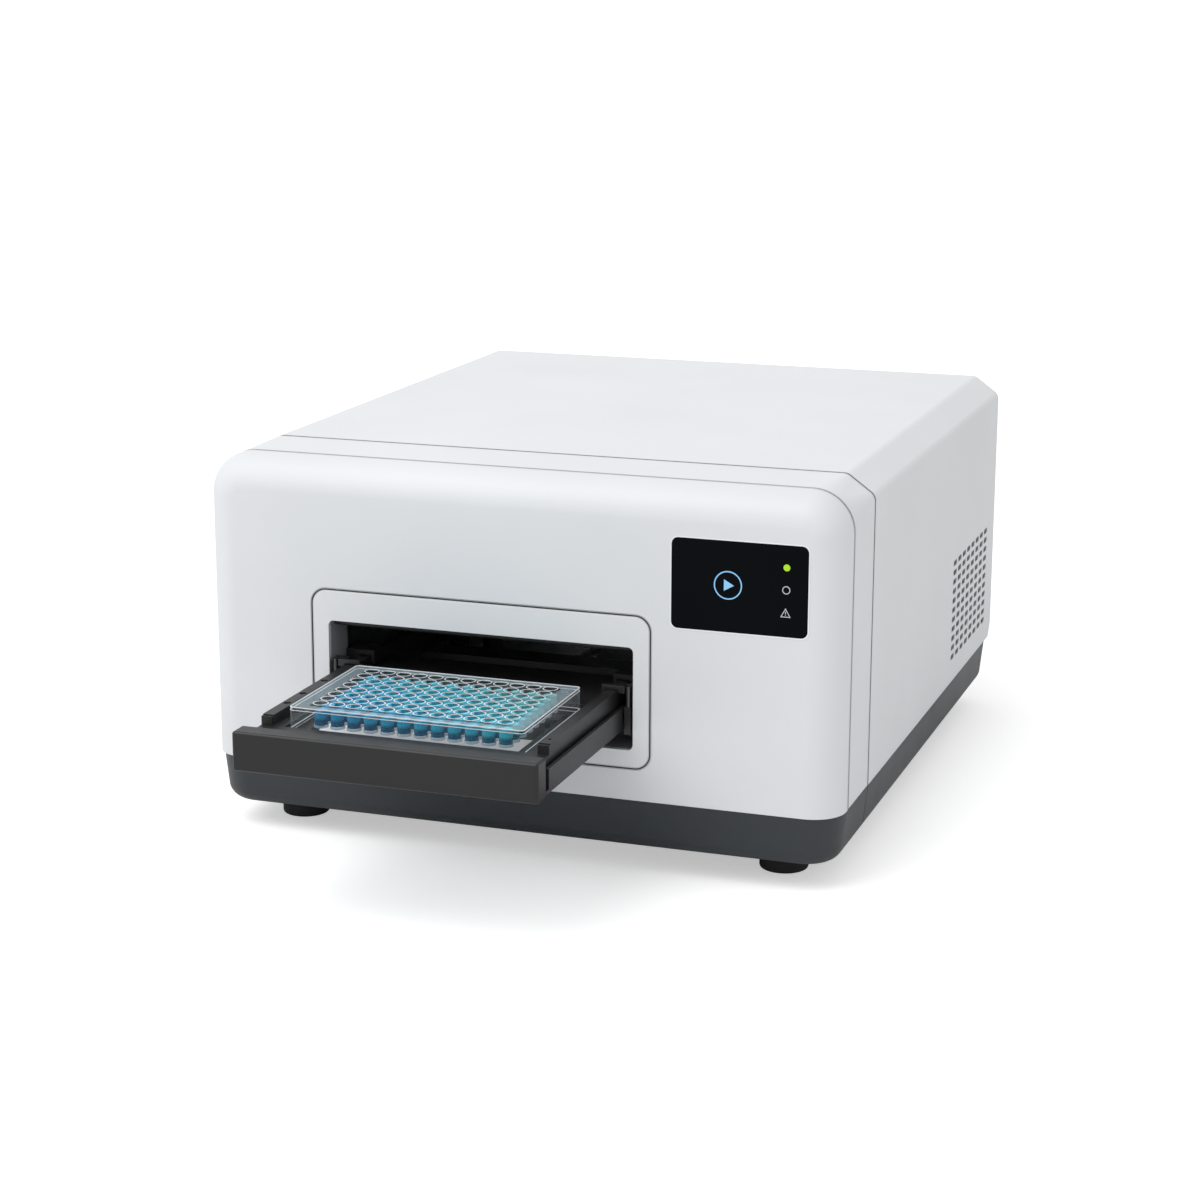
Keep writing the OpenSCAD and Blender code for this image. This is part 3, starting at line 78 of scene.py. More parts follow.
# ---------------------------------------------------------------- node helpers
class Graph:
    """A material's node tree with short ways to add the nodes used here."""

    def __init__(self, name):
        self.mat = bpy.data.materials.new(name)
        self.mat.use_nodes = True
        self.tree = self.mat.node_tree
        self.bsdf = self.tree.nodes["Principled BSDF"]
        self.coord = self.tree.nodes.new("ShaderNodeTexCoord").outputs["Object"]

    def link(self, a, b):
        self.tree.links.new(a, b)

    def stretch(self, scale):
        m = self.tree.nodes.new("ShaderNodeMapping")
        m.inputs["Scale"].default_value = scale
        self.link(self.coord, m.inputs["Vector"])
        return m.outputs["Vector"]

    def noise(self, scale, detail=3.0, vector=None):
        n = self.tree.nodes.new("ShaderNodeTexNoise")
        n.inputs["Scale"].default_value = scale
        n.inputs["Detail"].default_value = detail
        self.link(vector or self.coord, n.inputs["Vector"])
        return n.outputs["Fac"]

    def span(self, value, lo, hi, a=0.0, b=1.0):
        m = self.tree.nodes.new("ShaderNodeMapRange")
        m.inputs["From Min"].default_value = a
        m.inputs["From Max"].default_value = b
        m.inputs["To Min"].default_value = lo
        m.inputs["To Max"].default_value = hi
        self.link(value, m.inputs["Value"])
        return m.outputs["Result"]

    def ramp(self, value, stops):
        r = self.tree.nodes.new("ShaderNodeValToRGB")
        e = r.color_ramp.elements
        while len(e) < len(stops):
            e.new(0.5)
        for k, (pos, col) in zip(e, stops):
            k.position = pos
            k.color = (*col, 1.0)
        self.link(value, r.inputs["Fac"])
        return r.outputs["Color"]

    def feed(self, socket, value):
        """A number is set on the socket, and anything else is linked to it."""
        if isinstance(value, (int, float)):
            socket.default_value = value
        else:
            self.link(value, socket)

    def math(self, op, a, b=0.0):
        m = self.tree.nodes.new("ShaderNodeMath")
        m.operation = op
        for socket, v in zip(m.inputs, (a, b)):
            self.feed(socket, v)
        return m.outputs["Value"]

    def mix(self, blend, factor, a, b):
        m = self.tree.nodes.new("ShaderNodeMix")
        m.data_type = "RGBA"
        m.blend_type = blend
        self.feed(m.inputs["Factor"], factor)
        self.link(a, m.inputs["A"])
        self.link(b, m.inputs["B"])
        return m.outputs["Result"]

    def multiply(self, colour, value):
        return self.mix("MULTIPLY", 1.0, colour, value)

    def bump(self, height, strength, distance, under=None):
        b = self.tree.nodes.new("ShaderNodeBump")
        b.inputs["Strength"].default_value = strength
        b.inputs["Distance"].default_value = distance
        self.link(height, b.inputs["Height"])
        if under is not None:
            self.link(under, b.inputs["Normal"])
        return b.outputs["Normal"]

    def painted_gap_shade(self, colour, deep):
        """The colour, with painted shade in gaps and slots. deep is how far they are looked
        for.
        """
        if not deep:
            return colour
        a = self.tree.nodes.new("ShaderNodeAmbientOcclusion")
        a.samples = GAP_SHADE_SAMPLES
        a.inputs["Distance"].default_value = deep
        return self.multiply(colour, self.ramp(a.outputs["AO"], GAP_SHADE_STOPS))

    def axes(self):
        parts = self.tree.nodes.new("ShaderNodeSeparateXYZ")
        self.link(self.coord, parts.inputs["Vector"])
        return [parts.outputs[k] for k in "XYZ"]

    def away(self, value, centre):
        """How far a coordinate in metres is from a centre in millimetres."""
        return self.math("ABSOLUTE", self.math("SUBTRACT", value, centre * MM))

    def seam_distance(self):
        """Metres from the nearest of the two seams and of the trim's groove.

        The groove's distance is multiplied, so its strips come out narrower."""
        x, y, z = self.axes()
        seams = self.math("MINIMUM", self.away(y, SEAM_FRONT), self.away(y, SEAM_REAR))
        r = TRIM_R + SEAM_GAP / 2
        legs = [self.math("SUBTRACT", self.away(value, centre),
                          ((size + SEAM_GAP) / 2 - r) * MM)
                for value, centre, size in ((x, TRIM_X, TRIM_W), (z, TRIM_Z, TRIM_H))]
        squares = [self.math("POWER", self.math("MAXIMUM", leg, 0.0), 2.0) for leg in legs]
        outer = self.math("SQRT", self.math("ADD", *squares))
        inner = self.math("MINIMUM", self.math("MAXIMUM", *legs), 0.0)
        groove = self.away(self.math("ADD", outer, inner), r)
        return self.math("MINIMUM", seams, self.math("MULTIPLY", groove, TRIM_FURTHER))

    def shade(self, value, colour, spread):
        lo = tuple(c * (1 - spread) for c in colour)
        hi = tuple(min(1.0, c * (1 + spread)) for c in colour)
        return self.ramp(value, [(0.3, lo), (0.7, hi)])


def moulded(name, colour, rough, grain=1500.0, depth=0.00003, strength=0.25, spread=0.02,
            level=0.5, deep=0.0, seams=False):
    """Moulded plastic: spark-eroded grain, slow unevenness of colour and of gloss.

    deep is the reach in metres of the painted shade in gaps and slots. seams paints shade on
    the strips beside the housing's seams and the trim's groove, and leans them with a bump."""
    g = Graph(name)
    slow = g.noise(9.0, 2.0)
    fine = g.noise(grain, 2.0)
    # Painted shade in gaps and slots, within deep metres
    tone = g.painted_gap_shade(g.shade(slow, colour, spread), deep)
    g.link(g.span(g.noise(40.0), rough - ROUGH_SPREAD, rough + ROUGH_SPREAD),
           g.bsdf.inputs["Roughness"])
    low = g.bump(slow, SLOW_STRENGTH, SLOW_DEPTH)
    if seams:
        away = g.seam_distance()
        # Painted shade on the strips beside the seams and the trim's groove
        tone = g.multiply(tone, g.span(away, STRIP_PAINTED_SHADE, 1.0, STRIP_FROM, STRIP_TO))
        low = g.bump(g.span(away, 0.0, 1.0, 0.0, LEAN_WIDTH), 1.0, LEAN_DEPTH, low)
    g.link(tone, g.bsdf.inputs["Base Color"])
    g.link(g.bump(fine, strength, depth, low), g.bsdf.inputs["Normal"])
    g.bsdf.inputs["Specular IOR Level"].default_value = level
    return g.mat


def metal(name, colour, rough, stretch=(40.0, 3000.0, 3000.0), spread=0.08):
    """Metal with the fine lines that drawing, rolling or turning leaves."""
    g = Graph(name)
    lines = g.noise(1.0, 4.0, g.stretch(stretch))
    slow = g.noise(25.0)
    g.link(g.shade(slow, colour, spread), g.bsdf.inputs["Base Color"])
    g.link(g.span(lines, rough - 0.08, rough + 0.1), g.bsdf.inputs["Roughness"])
    g.link(g.bump(lines, 0.2, 0.00002), g.bsdf.inputs["Normal"])
    g.bsdf.inputs["Metallic"].default_value = 1.0
    return g.mat


def rubber(name, colour):
    g = Graph(name)
    g.link(g.shade(g.noise(60.0), colour, 0.15), g.bsdf.inputs["Base Color"])
    g.link(g.span(g.noise(200.0), 0.72, 0.88), g.bsdf.inputs["Roughness"])
    g.link(g.bump(g.noise(2500.0), 0.4, 0.00006), g.bsdf.inputs["Normal"])
    return g.mat


def display_black(name):
    """Dark glass with a faint smudging of its gloss."""
    g = Graph(name)
    g.link(g.shade(g.noise(14.0), (0.0022, 0.0032, 0.0044), 0.12), g.bsdf.inputs["Base Color"])
    g.link(g.span(g.noise(30.0, 5.0), 0.09, 0.2), g.bsdf.inputs["Roughness"])
    g.bsdf.inputs["Specular IOR Level"].default_value = 0.04
    return g.mat


def circuit(name):
    """Solder mask over copper tracks."""
    g = Graph(name)
    tracks = g.tree.nodes.new("ShaderNodeTexBrick")
    tracks.inputs["Scale"].default_value = 160.0
    tracks.inputs["Color1"].default_value = (0.010, 0.075, 0.030, 1.0)
    tracks.inputs["Color2"].default_value = (0.013, 0.090, 0.036, 1.0)
    tracks.inputs["Mortar"].default_value = (0.030, 0.140, 0.055, 1.0)
    tracks.inputs["Mortar Size"].default_value = 0.03
    g.link(g.coord, tracks.inputs["Vector"])
    g.link(tracks.outputs["Color"], g.bsdf.inputs["Base Color"])
    g.link(g.span(g.noise(90.0), 0.3, 0.45), g.bsdf.inputs["Roughness"])
    g.link(g.bump(tracks.outputs["Fac"], 0.3, 0.00005), g.bsdf.inputs["Normal"])
    return g.mat


def clear_plastic(name, body=0.16, edge=0.62, colour=(0.80, 0.88, 0.92)):
    """Clear polystyrene: see-through face on. Edge on, more of its pale colour shows, a painted
    reflection.
    """
    g = Graph(name)
    facing = g.tree.nodes.new("ShaderNodeLayerWeight")
    facing.inputs["Blend"].default_value = 0.45
    g.link(g.shade(g.noise(60.0), colour, 0.04), g.bsdf.inputs["Base Color"])
    g.link(g.span(facing.outputs["Facing"], body, edge), g.bsdf.inputs["Alpha"])
    g.link(g.span(g.noise(120.0), 0.06, 0.16), g.bsdf.inputs["Roughness"])
    g.link(g.bump(g.noise(300.0), 0.1, 0.00003), g.bsdf.inputs["Normal"])
    return g.mat


# Dye: how far its ramp runs across the plate and to the back, and where in a well it turns
# from painted shade low down to painted light higher up
DYE_ACROSS, DYE_BACK, DYE_WOBBLE = 0.60, 0.42, 0.05
SHADE_BELOW, LIT_ABOVE = 0.35, 0.6
SHADED_LOW_STOPS = ((0.0, (0.001, 0.105, 0.270)), (0.35, (0.001, 0.120, 0.250)),
              (0.7, (0.004, 0.150, 0.230)), (1.0, (0.090, 0.220, 0.260)))
LIT_HIGH_STOPS = ((0.0, (0.003, 0.300, 0.600)), (0.35, (0.005, 0.460, 0.740)),
               (0.6, (0.030, 0.570, 0.740)), (0.85, (0.150, 0.550, 0.600)),
               (1.0, (0.300, 0.500, 0.520)))


def sample_colour(name, low, high):
    """Dye that runs from blue at front left to cyan and a pale teal. It is darker low in a well
    and lighter up to the level, painted shade and painted light from above.

    low and high are how much it covers at the well's floor and at the liquid's level."""
    g = Graph(name)
    x, y, z = g.axes()
    x0, x1 = (BAY_X - PLATE_L / 2) * MM, (BAY_X + PLATE_L / 2) * MM
    y0, y1 = PLATE_Y0 * MM, (PLATE_Y0 + PLATE_W) * MM
    across = g.span(x, 0.0, DYE_ACROSS, x0, x1)
    back = g.span(y, 0.0, DYE_BACK, y0, y1)
    wobble = g.span(g.noise(110.0, 1.0), -DYE_WOBBLE, DYE_WOBBLE)
    place = g.math("ADD", g.math("ADD", across, back), wobble)
    # Share of the lighter colour: painted light higher up, painted shade low down
    lit_share = g.span(z, 0.0, 1.0, (WELL_FLOOR_Z + SHADE_BELOW * FILL) * MM,
                     (WELL_FLOOR_Z + LIT_ABOVE * FILL) * MM)
    g.link(g.mix("MIX", lit_share, g.ramp(place, SHADED_LOW_STOPS), g.ramp(place, LIT_HIGH_STOPS)),
           g.bsdf.inputs["Base Color"])
    g.link(g.span(z, low, high, WELL_FLOOR_Z * MM, (WELL_FLOOR_Z + FILL) * MM),
           g.bsdf.inputs["Alpha"])
    g.link(g.span(g.noise(200.0), 0.04, 0.1), g.bsdf.inputs["Roughness"])
    return g.mat


def glow(name, colour, strength, rough=0.4):
    """A lit sign on the screen."""
    g = Graph(name)
    g.link(g.shade(g.noise(700.0), colour, 0.06), g.bsdf.inputs["Base Color"])
    g.link(g.span(g.noise(300.0), rough - ROUGH_SPREAD, rough + ROUGH_SPREAD),
           g.bsdf.inputs["Roughness"])
    g.bsdf.inputs["Emission Color"].default_value = (*colour, 1.0)
    g.bsdf.inputs["Emission Strength"].default_value = strength
    return g.mat


MATERIALS = {
    # cover_white and trim_white get painted shade in gaps and slots and beside the seams
    "cover_white": moulded("cover_white", (0.775, 0.793, 0.815), 0.48, level=0.42,
                           deep=0.008, seams=True),
    "trim_white": moulded("trim_white", (0.790, 0.806, 0.826), 0.38, deep=0.006, seams=True),
    "liner_grey": moulded("liner_grey", (0.330, 0.340, 0.350), 0.5),
    "flap_black": moulded("flap_black", (0.018, 0.018, 0.019), 0.5),
    "display_black": display_black("display_black"),
    "circuit_green": circuit("circuit_green"),
    "base_slate": moulded("base_slate", (0.026, 0.031, 0.036), 0.42, spread=0.05),
    "foot_rubber": rubber("foot_rubber", (0.011, 0.011, 0.012)),
    "bright_steel": metal("bright_steel", (0.62, 0.62, 0.61), 0.25),
    "zinc_steel": metal("zinc_steel", (0.52, 0.54, 0.55), 0.38),
    "rail_black": moulded("rail_black", (0.014, 0.014, 0.015), 0.4),
    "cap_black": moulded("cap_black", (0.012, 0.012, 0.013), 0.45),
    "dark_steel": metal("dark_steel", (0.10, 0.10, 0.105), 0.4),
    "drawer_charcoal": moulded("drawer_charcoal", (0.011, 0.011, 0.012), 0.36, spread=0.06,
                               level=0.42),
    "clear_plastic": clear_plastic("clear_plastic", 0.02, 0.24),
    "sample_blue": sample_colour("sample_blue", 1.0, 0.85),
    "brass": metal("brass", (0.60, 0.42, 0.17), 0.3),
    "aluminium": metal("aluminium", (0.70, 0.71, 0.72), 0.34),
    "motor_black": moulded("motor_black", (0.016, 0.016, 0.017), 0.38),
    "optics_black": moulded("optics_black", (0.017, 0.017, 0.018), 0.55),
    "rear_grey": moulded("rear_grey", (0.46, 0.48, 0.49), 0.45),
    "socket_black": moulded("socket_black", (0.015, 0.015, 0.016), 0.42),
    "rocker_black": moulded("rocker_black", (0.013, 0.013, 0.014), 0.3),
    "fan_black": moulded("fan_black", (0.015, 0.015, 0.016), 0.45),
}
SIGN_WHITE = glow("sign_white", (0.50, 0.53, 0.55), 0.12)
SIGN_BLUE = glow("sign_blue", (0.21, 0.48, 0.74), 0.32)
SIGN_LIME = glow("sign_lime", (0.32, 0.58, 0.008), 0.38)
# Near-white for the wells' rims and the skirt's lines, painted highlight
RIM_HIGHLIGHT = clear_plastic("rim_highlight", 0.86, 1.0, (0.95, 0.98, 1.0))
WELL_CLEAR = clear_plastic("well_clear", 0.01, 0.10, (0.62, 0.80, 0.88))
# Pale rings for the wells' feet, painted highlight
FOOT_HIGHLIGHT = clear_plastic("foot_highlight", 0.55, 0.85, (0.50, 0.70, 0.80))
FROST = clear_plastic("frosted_margin", 0.18, 0.40, (0.60, 0.78, 0.86))
# Dark grey for the strips in the seams, painted shade
SEAM_SHADE_DARK = moulded("seam_shade_dark", (0.070, 0.072, 0.075), 0.7)
# The liquid's surface, at the level, takes the lighter colour, painted light
SURFACE = sample_colour("sample_surface", 0.92, 0.92)
# Lighter white than the panel for the lip round the glass, painted highlight
LIP_HIGHLIGHT_WHITE = moulded("lip_painted_highlight", (0.90, 0.91, 0.92), 0.3)


# ---------------------------------------------------------------- CAD nodes
for part in RECORD["subparts"]:
    node = NODES[part["node"]]
    mat = MATERIALS[part["material_slot"]]
    if not node.material_slots:
        node.data.materials.append(mat)
    for s in node.material_slots:
        s.material = mat


# ---------------------------------------------------------------- edges
WELD_REACH = 0.000002
EDGE_ANGLE = 38


def soften(names, width, segments=2):
    """Small radii on the edges, at most width millimetres.

    They come out narrower where the mesh has short edges. As measured, sharp corners move by
    about 0.2 mm on the ring and the guide shoes, 0.04 on the trim and 0.01 on the others.
    drawer_front has no edge sharp enough, and keeps the rounding of its solid."""
    for n in names:
        w = NODES[n].modifiers.new("weld", "WELD")
        w.merge_threshold = WELD_REACH
        b = NODES[n].modifiers.new("soft", "BEVEL")
        b.width = width * MM
        b.segments = segments
        b.limit_method = "ANGLE"
        b.angle_limit = math.radians(EDGE_ANGLE)
        NODES[n].modifiers.new("even", "WEIGHTED_NORMAL")


soften(("front_panel", "bezel_ring", "main_cover", "door_trim"), 0.45)
soften(("drawer_front",), 1.3, 3)
soften(("base_front", "base_tub"), 0.5)
soften(("channel_left", "channel_right", "plate_carrier", "guide_shoes"), 0.3)


# ---------------------------------------------------------------- mesh helpers
def add(name, data):
    """A new object of the data, in the scene."""
    o = bpy.data.objects.new(name, data)
    bpy.context.scene.collection.objects.link(o)
    return o


def piece(name, verts, faces, mat, body, bevel=0.0):
    """A piece of the scene's own, from places in millimetres, that rides on a body."""
    mesh = bpy.data.meshes.new(name)
    mesh.from_pydata([(x * MM, y * MM, z * MM) for x, y, z in verts], [], faces)
    mesh.validate()
    mesh.update()
    o = add(name, mesh)
    o.data.materials.append(mat)
    if bevel:
        b = o.modifiers.new("soft", "BEVEL")
        b.width = bevel * MM
        b.segments = 2
        b.limit_method = "ANGLE"
    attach(o, body)
    return o


def rounded(w, h, r, n=8):
    """Outline of a rectangle with round corners, centred on (0, 0)."""
    pts = []
    for cx, cy, a0 in ((w / 2 - r, h / 2 - r, 0), (-w / 2 + r, h / 2 - r, 90),
                       (-w / 2 + r, -h / 2 + r, 180), (w / 2 - r, -h / 2 + r, 270)):
        for i in range(n + 1):
            a = math.radians(a0 + 90 * i / n)
            pts.append((cx + r * math.cos(a), cy + r * math.sin(a)))
    return pts


def circle(r, n=40):
    return [(r * math.cos(2 * math.pi * i / n), r * math.sin(2 * math.pi * i / n))
            for i in range(n)]


def band(outer, inner, place, depth, verts, faces):
    """A closed band between two outlines of as many points, added to verts and faces."""
    n = len(outer)
    base = len(verts)
    for line, d in ((outer, 0), (inner, 0), (inner, depth), (outer, depth)):
        verts.extend(place(u, v, d) for u, v in line)
    for i in range(n):
        j = (i + 1) % n
        for k in range(4):
            a, b = base + k * n, base + ((k + 1) % 4) * n
            faces.append((a + i, a + j, b + j, b + i))


def slab(outline, place, depth, verts, faces):
    """A closed flat shape of one outline."""
    n = len(outline)
    base = len(verts)
    for d in (0, depth):
        verts.extend(place(u, v, d) for u, v in outline)
    faces.append(tuple(base + i for i in reversed(range(n))))
    faces.append(tuple(base + n + i for i in range(n)))
    for i in range(n):
        j = (i + 1) % n
        faces.append((base + i, base + j, base + n + j, base + n + i))


def on_screen(cx, cz):
    """Places a drawing (u right, v up) on the glass, d rising towards the viewer."""
    return lambda u, v, d: (cx + u, GLASS_FACE_Y - SIGN_LIFT - d, cz + v)


def on_plate(cx, cy, z):
    """Places a drawing (u right, v back) flat at height z, d rising."""
    return lambda u, v, d: (cx + u, cy + v, z + d)


# ---------------------------------------------------------------- display signs
SIGN_T, SIGN_LIFT = 0.05, 0.02
READY_R = 1.76
PLAY_R, PLAY_HOLE = 7.4, 6.75
RING_R, RING_HOLE = 2.1, 1.65
PLAY_ARROW = [(-2.1, -3.0), (3.2, 0.0), (-2.1, 3.0)]
TRI = [(-2.7, -2.2), (2.7, -2.2), (0.0, 2.6)]
TRI_HOLE = [(x * 0.74, y * 0.74 - 0.16) for x, y in TRI]
MARK_STEM = [(-0.2, -0.55), (0.2, -0.55), (0.2, 0.85), (-0.2, 0.85)]
MARK_DOT = [(-0.2, -1.3), (0.2, -1.3), (0.2, -0.9), (-0.2, -0.9)]


def sign(name, parts, mat):
    verts, faces = [], []
    for make in parts:
        make(verts, faces)
    return piece(name, verts, faces, mat, "root")


play, alert = on_screen(117.2, 159.8), on_screen(147.3, 147.9)
ready, ring = on_screen(147.6, 171.2), on_screen(147.5, 159.7)
sign("sign_play", [
    lambda v, f: band(circle(PLAY_R), circle(PLAY_HOLE), play, SIGN_T, v, f),
    lambda v, f: slab(PLAY_ARROW, play, SIGN_T, v, f)], SIGN_BLUE)
sign("sign_ready", [lambda v, f: slab(circle(READY_R), ready, SIGN_T, v, f)], SIGN_LIME)
sign("sign_ring", [
    lambda v, f: band(circle(RING_R), circle(RING_HOLE), ring, SIGN_T, v, f)], SIGN_WHITE)
sign("sign_alert", [
    lambda v, f: band(TRI, TRI_HOLE, alert, SIGN_T, v, f),
    lambda v, f: slab(MARK_STEM, alert, SIGN_T, v, f),
    lambda v, f: slab(MARK_DOT, alert, SIGN_T, v, f)], SIGN_WHITE)

# Moulded lip round the glass, in the gap between it and the panel. Its white, lighter than
# the panel's, is a painted highlight
RIM_OVER, RIM_CLEARANCE, RIM_T, RIM_SOFT = 1.5, 0.05, 0.32, 0.1
verts, faces = [], []
band(rounded(GLASS_W + RIM_OVER, GLASS_H + RIM_OVER, GLASS_R + RIM_OVER / 2),
     rounded(GLASS_W + RIM_CLEARANCE, GLASS_H + RIM_CLEARANCE, GLASS_R + 0.02),
     on_screen(GLASS_X, GLASS_Z), RIM_T, verts, faces)
piece("display_lip", verts, faces, LIP_HIGHLIGHT_WHITE, "root", RIM_SOFT)


# ---------------------------------------------------------------- dark strips in the seams, painted shade
SHADE_STRIP_OUTER, SHADE_STRIP_INNER = 0.5, 1.6
SHADE_STRIP_CLEAR, SHADE_STRIP_FOOT = 0.05, 0.3
TRIM_SHADE_IN, TRIM_SHADE_T = 0.6, 0.8


def arc(cx, cz, r, a0, a1, n=10):
    """Points on an arc from angle a0 to a1, in degrees."""
    steps = [math.radians(a0 + (a1 - a0) * i / n) for i in range(n + 1)]
    return [(cx + r * math.cos(a), cz + r * math.sin(a)) for a in steps]


def mirrored(half):
    """A path up the right side and over to the middle, and its mirror image down the left."""
    return half + [(-x, z) for x, z in reversed(half)]


def panel_path(inset):
    """The front panel's outline, that far under its surface."""
    r = PANEL_R - inset
    return mirrored([(HALF_W - inset, SEAM_Z + SHADE_STRIP_FOOT)]
                    + arc(HALF_W - PANEL_R, ROOF_Z - PANEL_R, r, 0, 90))


def cover_path(inset):
    """The cover's chamfered outline, that far under its surface."""
    b = CHAMFER_BLEND - inset
    x, z = HALF_W - inset, ROOF_Z - inset
    tilt = math.degrees(math.atan2(CHAMFER_W - b, CHAMFER_H - b))
    return mirrored([(x, SEAM_Z + SHADE_STRIP_FOOT)] + arc(x - b, z - CHAMFER_H, b, 0, tilt)
                    + arc(x - CHAMFER_W, z - b, b, tilt, 90))


def dark_seam_strip(name, path, y, outer, inner):
    """A dark strip that fills a seam from one depth under the surface to another, as painted
    shade.
    """
    near, far = y + SHADE_STRIP_CLEAR, y + SEAM_GAP - SHADE_STRIP_CLEAR
    lines = [(path(outer), near), (path(inner), near), (path(inner), far), (path(outer), far)]
    n = len(lines[0][0])
    verts = [(x, at, z) for line, at in lines for x, z in line]
    faces = [tuple(k * n for k in range(4)), tuple(k * n + n - 1 for k in reversed(range(4)))]
    for k in range(4):
        a, b = k * n, (k + 1) % 4 * n
        faces.extend((a + i, b + i, b + i + 1, a + i + 1) for i in range(n - 1))
    piece(name, verts, faces, SEAM_SHADE_DARK, "root")


dark_seam_strip("seam_shade_front", panel_path, RING_Y, SHADE_STRIP_OUTER, SHADE_STRIP_INNER)
dark_seam_strip("seam_shade_rear", cover_path, COVER_Y - SEAM_GAP, SHADE_STRIP_OUTER, SHADE_STRIP_INNER)
# Dark strip in the trim's groove, painted shade
verts, faces = [], []
band(rounded(TRIM_W + 2 * SEAM_GAP - 2 * SHADE_STRIP_CLEAR, TRIM_H + 2 * SEAM_GAP - 2 * SHADE_STRIP_CLEAR,
             TRIM_R + SEAM_GAP - SHADE_STRIP_CLEAR),
     rounded(TRIM_W + 2 * SHADE_STRIP_CLEAR, TRIM_H + 2 * SHADE_STRIP_CLEAR, TRIM_R + SHADE_STRIP_CLEAR),
     lambda u, v, d: (TRIM_X + u, FRONT_Y + TRIM_SHADE_IN + d, TRIM_Z + v), TRIM_SHADE_T,
     verts, faces)
piece("seam_shade_trim", verts, faces, SEAM_SHADE_DARK, "root")


# ---------------------------------------------------------------- microplate
RIM_SIDES, FOOT_SIDES, SURFACE_SIDES = 32, 28, 24
WELLS = [(BAY_X + (i - (COLS - 1) / 2) * WELL_PITCH,
          PLATE_Y0 + PLATE_W / 2 + (j - (ROWS - 1) / 2) * WELL_PITCH)
         for i in range(COLS) for j in range(ROWS)]


def well_bands(name, outer, inner, sides, z, depth, mat):
    """A ring at each well, all of them one piece."""
    verts, faces = [], []
    for cx, cy in WELLS:
        band(circle(outer, sides), circle(inner, sides), on_plate(cx, cy, z), depth,
             verts, faces)
    piece(name, verts, faces, mat, "tray")


# Near-white rings on the wells' rims: the rims are real, their white is painted highlight
well_bands("well_rims", WELL_R + WELL_WALL - 0.08, WELL_R + 0.08, RIM_SIDES,
           PLATE_TOP + 0.02, 0.12, RIM_HIGHLIGHT)

# Surface of the liquid, curved up where it meets the wall: (radius, lift) from the middle out
MENISCUS = ((1.2, 0.03), (2.4, 0.06), (3.0, 0.16), (WELL_R - 0.08, 0.42))
LEVEL, MIDDLE_LIFT = WELL_FLOOR_Z + FILL, 0.02
verts, faces = [], []
for cx, cy in WELLS:
    base = len(verts)
    verts.append((cx, cy, LEVEL + MIDDLE_LIFT))
    for r, lift in MENISCUS:
        verts.extend((cx + u, cy + v, LEVEL + lift) for u, v in circle(r, SURFACE_SIDES))
    for a in range(SURFACE_SIDES):
        b = (a + 1) % SURFACE_SIDES
        faces.append((base, base + 1 + a, base + 1 + b))
        for k in range(len(MENISCUS) - 1):
            p = base + 1 + SURFACE_SIDES * k
            q = p + SURFACE_SIDES
            faces.append((p + a, p + b, q + b, q + a))
piece("liquid_surface", verts, faces, SURFACE, "tray")

# The plate as thin clear walls. It stands for the CAD plate, in the same place and size
outer_l, outer_w = PLATE_L - 2 * SKIRT_STEP, PLATE_W - 2 * SKIRT_STEP
field_l, field_w = COLS * WELL_PITCH, ROWS * WELL_PITCH
centre = (BAY_X, PLATE_Y0 + PLATE_W / 2)
LIP_Z = NEST_Z + 2.4


def walls(rings, verts, faces):
    """Open surface through rings of as many points, each (outline, z)."""
    n = len(rings[0][0])
    base = len(verts)
    for outline, z in rings:
        verts.extend((centre[0] + u, centre[1] + v, z) for u, v in outline)
    for k in range(len(rings) - 1):
        for a in range(n):
            b = (a + 1) % n
            p, q = base + k * n, base + (k + 1) * n
            faces.append((p + a, p + b, q + b, q + a))


foot = rounded(PLATE_L, PLATE_W, 3.2)
step = rounded(PLATE_L - 0.6, PLATE_W - 0.6, 3.0)
body = rounded(outer_l, outer_w, 2.4)
crown = rounded(outer_l - 0.8, outer_w - 0.8, 2.2)
verts, faces = [], []
walls([(foot, NEST_Z + 0.02), (foot, LIP_Z - 0.3), (step, LIP_Z), (body, LIP_Z),
       (body, DECK_Z - 0.4), (crown, DECK_Z)], verts, faces)
skirt = piece("plate_skirt", verts, faces, MATERIALS["clear_plastic"], "tray")
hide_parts("microplate")

verts, faces = [], []
walls([(crown, DECK_Z), (rounded(field_l, field_w, 0.4), DECK_Z)], verts, faces)
piece("frosted_margin", verts, faces, FROST, "tray")

# Deck between the wells, and the wells' walls and floors
verts, faces, tubes, tube_faces = [], [], [], []
for cx, cy in WELLS:
    base = len(verts)
    for a in range(RIM_SIDES):
        t = 2 * math.pi * a / RIM_SIDES
        c, w = math.cos(t), math.sin(t)
        reach = WELL_PITCH / 2 / max(abs(c), abs(w))
        verts.append((cx + reach * c, cy + reach * w, DECK_Z))
        verts.append((cx + (WELL_R + WELL_WALL) * c, cy + (WELL_R + WELL_WALL) * w, DECK_Z))
    for a in range(RIM_SIDES):
        b = (a + 1) % RIM_SIDES
        faces.append((base + 2 * a, base + 2 * b, base + 2 * b + 1, base + 2 * a + 1))
    base = len(tubes)
    for z in (PLATE_TOP, WELL_FLOOR_Z - 0.1):
        tubes.extend((cx + u, cy + v, z) for u, v in circle(WELL_R + 0.05, RIM_SIDES))
    for a in range(RIM_SIDES):
        b = (a + 1) % RIM_SIDES
        tube_faces.append((base + a, base + b, base + RIM_SIDES + b, base + RIM_SIDES + a))
    tube_faces.append(tuple(base + RIM_SIDES + a for a in range(RIM_SIDES)))
piece("plate_deck", verts, faces, WELL_CLEAR, "tray")
piece("well_tubes", tubes, tube_faces, WELL_CLEAR, "tray")

